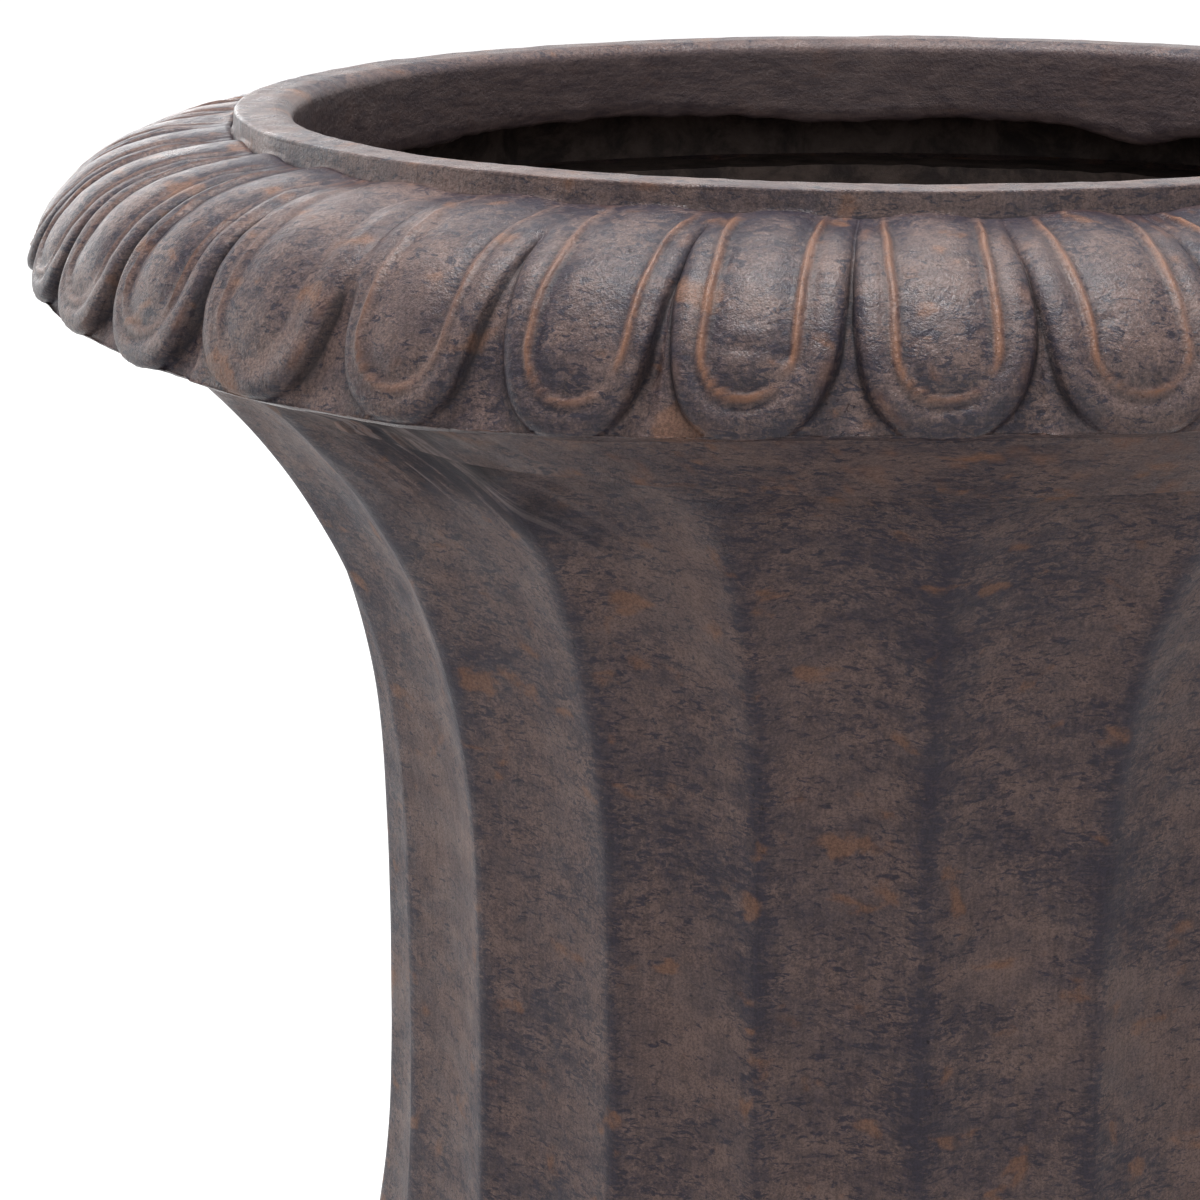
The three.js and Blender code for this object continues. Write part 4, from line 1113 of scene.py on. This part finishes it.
def tie_bolt():
    low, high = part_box("tie_bolt")
    half, shank, core = HEX_ACROSS / 2, 6 * MM, 5.25 * MM
    head = high.z - BOLT_HEAD
    section = [(0, high.z - 0.3 * MM), (half * 0.6, high.z - 0.3 * MM), (half * 0.66, high.z),
               (half - 0.4 * MM, high.z), (half, high.z - 0.1 * MM), (half, head + 0.1 * MM),
               (half - 0.4 * MM, head), (shank + 0.5 * MM, head), (shank, head - 0.5 * MM),
               (shank, BOLT_THREAD_TOP + 0.6 * MM), (core, BOLT_THREAD_TOP),
               (core, low.z + 1.2 * MM), (core - 1.1 * MM, low.z), (0, low.z)]
    piece = as_object(spun(section, 8, 6, closed=False), "tie_bolt_body", ZINC, sharp=28)
    hex_shape(piece.data, half, head, high.z)
    thread = bmesh.new()
    tooth = [(4.9, -0.82), (6.0, -0.14), (6.0, 0.14), (4.9, 0.82)]
    ring = [thread.verts.new((r * MM, 0, low.z + (1.6 + h) * MM)) for r, h in tooth]
    edges = [thread.edges.new((ring[i], ring[(i + 1) % 4])) for i in range(4)]
    turns, per_turn = int((BOLT_THREAD_TOP - low.z - 2.4 * MM) / THREAD_PITCH), 24
    thread.faces.new(ring)
    end = bmesh.ops.spin(thread, geom=ring + edges, cent=(0, 0, 0), axis=(0, 0, 1), angle=math.tau * turns,
                         steps=turns * per_turn, dvec=(0, 0, THREAD_PITCH / per_turn))["geom_last"]
    bmesh.ops.contextual_create(thread, geom=[item for item in end if isinstance(item, bmesh.types.BMEdge)])
    coil = as_object(thread, "tie_bolt_thread", ZINC, sharp=28)
    stands_for(piece, "zinc_steel", "tie_bolt")
    stands_for(coil, "zinc_steel", "tie_bolt")


def tie_nut():
    low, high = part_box("tie_nut")
    half, hole = HEX_ACROSS / 2, 6.3 * MM
    section = [(hole, low.z + 0.8 * MM), (hole + 0.8 * MM, low.z), (half - 0.4 * MM, low.z),
               (half, low.z + 0.1 * MM), (half, high.z - 0.1 * MM), (half - 0.4 * MM, high.z),
               (hole + 0.8 * MM, high.z), (hole, high.z - 0.8 * MM)]
    piece = as_object(spun(section, 8, 6), "tie_nut_body", ZINC, sharp=28)
    hex_shape(piece.data, half, low.z, high.z)
    stands_for(piece, "zinc_steel", "tie_nut")


def flat_washer():
    low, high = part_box("flat_washer")
    inner, outer, edge = 6.4 * MM, high.x, 0.35 * MM
    section = [(inner, low.z + edge), (inner + edge, low.z), (outer - edge, low.z), (outer, low.z + edge),
               (outer, high.z - edge), (outer - edge, high.z), (inner + edge, high.z), (inner, high.z - edge)]
    piece = as_object(spun(section, 10, 6), "flat_washer_disc", ZINC, sharp=30)
    stands_for(piece, "zinc_steel", "flat_washer")


def spring_washer():
    """A split ring whose ends stand a little apart."""
    low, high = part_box("spring_washer")
    inner, outer, edge, gap, rise = 6.4 * MM, high.x, 0.2 * MM, math.radians(12), 0.3 * MM
    top = high.z - rise
    section = [(inner, low.z + edge), (inner + edge, low.z), (outer - edge, low.z), (outer, low.z + edge),
               (outer, top - edge), (outer - edge, top), (inner + edge, top), (inner, top - edge)]
    coil = bmesh.new()
    ring = [coil.verts.new((radius, 0, height)) for radius, height in section]
    edges = [coil.edges.new(pair) for pair in zip(ring, ring[1:] + ring[:1])]
    coil.faces.new(ring)
    steps = 60
    end = bmesh.ops.spin(coil, geom=ring + edges, cent=(0, 0, 0), axis=(0, 0, 1), angle=math.tau - gap,
                         steps=steps, dvec=(0, 0, rise / steps))["geom_last"]
    bmesh.ops.contextual_create(coil, geom=[item for item in end if isinstance(item, bmesh.types.BMEdge)])
    turn = Matrix.Rotation(math.radians(-70), 3, "Z")
    bmesh.ops.rotate(coil, verts=coil.verts, cent=(0, 0, 0), matrix=turn)
    stands_for(as_object(coil, "spring_washer_coil", ZINC, sharp=30), "zinc_steel", "spring_washer")


# ------------------------------------------------------------------ drain
def at_drain(shell):
    bmesh.ops.translate(shell, verts=shell.verts, vec=(0, DRAIN_Y, 0))
    return shell


def drain_bush():
    low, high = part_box("drain_bush")
    bore, tube, flange = 8 * MM, 10 * MM, high.x
    foot = BUSH_FLANGE_FOOT
    section = [(bore + 0.3 * MM, low.z), (tube - 0.4 * MM, low.z), (tube, low.z + 0.4 * MM)]
    height, groove = low.z + 1.5 * MM, 0.45 * MM
    while height < BACKNUT_SEAT:
        section += [(tube, height), (tube - groove, height + 0.6 * MM), (tube - groove, height + 0.9 * MM),
                    (tube, height + 1.5 * MM)]
        height += 2 * MM
    section += [(tube, foot - 0.3 * MM), (tube + 0.3 * MM, foot), (flange - 0.3 * MM, foot),
                (flange, foot + 0.4 * MM)]
    section += arc((flange - 1.1 * MM, high.z - 1.1 * MM), 1.1 * MM, 1.1 * MM, 0, 90, 4)
    section += [(bore + 2.2 * MM, high.z), (bore + 0.6 * MM, high.z - 0.5 * MM), (bore, high.z - 1.6 * MM),
                (bore, low.z + 0.3 * MM)]
    stands_for(as_object(at_drain(spun(section, 12, 6)), "drain_bush_flange", MOULDING, sharp=35),
               "drain_plastic", "drain_bush")


def drain_backnut():
    low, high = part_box("drain_backnut")
    bore, outer, edge = 10.3 * MM, high.x, 0.5 * MM
    section = [(bore, low.z + edge), (bore + edge, low.z), (outer - edge, low.z), (outer, low.z + edge),
               (outer, high.z - edge), (outer - edge, high.z), (bore + edge, high.z), (bore, high.z - edge)]
    piece = as_object(spun(section, 16, 6), "drain_backnut_ring", MOULDING, sharp=35)
    mesh = piece.data
    places = read(mesh)
    radius = np.hypot(places[:, 0], places[:, 1])
    angle = np.arctan2(places[:, 1], places[:, 0])
    grips = 12
    scoop = 1.1 * MM * smooth(np.cos(grips * angle), 0.0, 0.8) * (radius > bore + 1.5 * MM)
    shrink = ((radius - scoop) / radius)[:, None]
    write(mesh, places * np.column_stack([shrink, shrink, np.ones(len(places))]) + (0, DRAIN_Y, 0))
    stands_for(piece, "drain_plastic", "drain_backnut")


def drain_plug():
    """The rubber bung: a ribbed taper, a flat flange and a knob to pull."""
    low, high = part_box("drain_plug")
    seat, flange, neck = PLUG_SEAT, high.x, 3.4 * MM
    section = [(0, low.z), (6.4 * MM, low.z), (7.0 * MM, low.z + 0.6 * MM)]
    ribs = 4
    for number in range(ribs):
        height = low.z + (1.6 + 3.4 * number) * MM
        full = (7.25 + 0.11 * number) * MM
        section += arc((full - 0.7 * MM, height + 1.2 * MM), 0.7 * MM, 1.2 * MM, -80, 80, 6)
    section += [(6.9 * MM, seat - 0.4 * MM), (7.6 * MM, seat), (flange - 0.6 * MM, seat),
                (flange, seat + 0.6 * MM)]
    section += arc((flange - 1.4 * MM, seat + 2.4 * MM), 1.4 * MM, 1.4 * MM, 0, 90, 4)
    section += [(6.0 * MM, seat + 3.9 * MM), (4.6 * MM, seat + 4.3 * MM), (neck, seat + 5.4 * MM),
                (neck, seat + 8 * MM)]
    section += arc((0, high.z - 3.4 * MM), 4.5 * MM, 3.4 * MM, -20, 90, 9)
    piece = as_object(at_drain(spun(section, 8, 6, closed=False)), "drain_bung", RUBBER, sharp=40)
    stands_for(piece, "rubber", "drain_plug", body="plug")


def foot_pads():
    for place in ("front_left", "front_right", "back_right", "back_left"):
        low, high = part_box("foot_pad_" + place)
        middle = (low + high) / 2
        half = (high.x - low.x) / 2
        section = [(0, low.z + 0.5 * MM), (4 * MM, low.z + 0.5 * MM), (4.6 * MM, low.z),
                   (half - 1.4 * MM, low.z)]
        section += arc((half - 0.9 * MM, low.z + 0.9 * MM), 0.9 * MM, 0.9 * MM, -80, 0, 3)
        section += [(half - 0.25 * MM, high.z - 0.3 * MM), (half - 0.7 * MM, high.z), (0, high.z)]
        shell = spun(section, 8, 6, closed=False)
        bmesh.ops.translate(shell, verts=shell.verts, vec=(middle.x, middle.y, 0))
        stands_for(as_object(shell, "pad_" + place, RUBBER, sharp=40), "rubber", "foot_pad_" + place)


# ------------------------------------------------------------------ camera, light, floor
def camera():
    """The photograph's viewpoint: above the front of the rim, looking down and a little left."""
    focal_px, image_px, sensor_mm = 2915, 1200, 36
    pan, tilt, roll = math.radians(5.69), math.radians(16.22), math.radians(-0.26)
    forward = Vector((-math.sin(pan) * math.cos(tilt), math.cos(pan) * math.cos(tilt), -math.sin(tilt)))
    level = Vector((math.cos(pan), math.sin(pan), 0))
    over = level.cross(forward)
    right = math.cos(roll) * level + math.sin(roll) * over
    up = -math.sin(roll) * level + math.cos(roll) * over
    data = bpy.data.cameras.new("view")
    data.sensor_width = sensor_mm
    data.lens = sensor_mm * focal_px / image_px
    made = bpy.data.objects.new("view", data)
    turn = Matrix((right, up, -forward)).transposed().to_4x4()
    made.matrix_world = Matrix.Translation((0, -893.5 * MM, LIP + 100.1 * MM)) @ turn
    bpy.context.scene.collection.objects.link(made)
    bpy.context.scene.camera = made


def softbox(name, place, aim, width, height, power, tint=(1, 1, 1)):
    data = bpy.data.lights.new(name, "AREA")
    data.shape = "RECTANGLE"
    data.size, data.size_y, data.energy, data.color = width, height, power, tint
    made = bpy.data.objects.new(name, data)
    made.location = place
    made.visible_camera = False
    made.rotation_euler = (Vector(aim) - Vector(place)).to_track_quat("-Z", "Y").to_euler()
    bpy.context.scene.collection.objects.link(made)


def studio():
    scene = bpy.context.scene
    scene.view_settings.view_transform = "Standard"
    world = bpy.data.worlds.new("studio")
    world.use_nodes = True
    tree = world.node_tree
    seen = add(tree, "ShaderNodeLightPath").outputs
    direct = maths(tree, "MAXIMUM", seen["Is Camera Ray"],
                   maths(tree, "MAXIMUM", seen["Is Glossy Ray"], seen["Is Transmission Ray"]))
    strength = maths(tree, "ADD", maths(tree, "MULTIPLY", direct, 0.64), 0.36)
    tree.nodes["Background"].inputs["Color"].default_value = (1, 1, 1, 1)
    tree.links.new(strength, tree.nodes["Background"].inputs["Strength"])
    scene.world = world

    floor_mesh = bmesh.new()
    bmesh.ops.create_grid(floor_mesh, x_segments=1, y_segments=1, size=14)
    material, tree, skin = shader("pale_floor", Roughness=0.9)
    seen = add(tree, "ShaderNodeLightPath").outputs
    direct = maths(tree, "MAXIMUM", seen["Is Camera Ray"],
                   maths(tree, "MAXIMUM", seen["Is Glossy Ray"], seen["Is Transmission Ray"]))
    skin["Base Color"].default_value = (0.35, 0.35, 0.35, 1)
    skin["Emission Color"].default_value = (1, 1, 1, 1)
    tree.links.new(maths(tree, "MULTIPLY", direct, 0.9), skin["Emission Strength"])
    floor = as_object(floor_mesh, "floor", material)
    for vertex in floor.data.vertices:
        vertex.co.z -= 0.2 * MM

    centre = (0, 0, 0.5)
    softbox("top_softbox", (-0.15, 0.1, 2.2), centre, 0.62, 0.55, 38)
    softbox("back_softbox", (-1.9, 2.7, 1.2), centre, 2.2, 1.2, 24)
    softbox("left_softbox", (-2.4, 0.4, 0.7), centre, 1.1, 1.4, 19)
    softbox("front_fill", (0.4, -2.8, 1.3), centre, 2.2, 1.8, 23)


rim_ring()
fluted_bell()
pedestal_foot()
bond_bead()
joint_gasket()
holed_plate("bar_seal", "upper_bar_seal", RUBBER, "rubber", BOLT_HOLE, 13.8 * MM, 0.5 * MM)
holed_plate("upper_bar", "upper_clamp_bar", ZINC, "zinc_steel", BOLT_HOLE, 13.8 * MM, 0.5 * MM)
holed_plate("lower_bar", "lower_clamp_bar", ZINC, "zinc_steel", BOLT_HOLE, 13.8 * MM, 0.5 * MM)
tie_bolt()
tie_nut()
flat_washer()
spring_washer()
drain_bush()
drain_backnut()
drain_plug()
foot_pads()
camera()
studio()
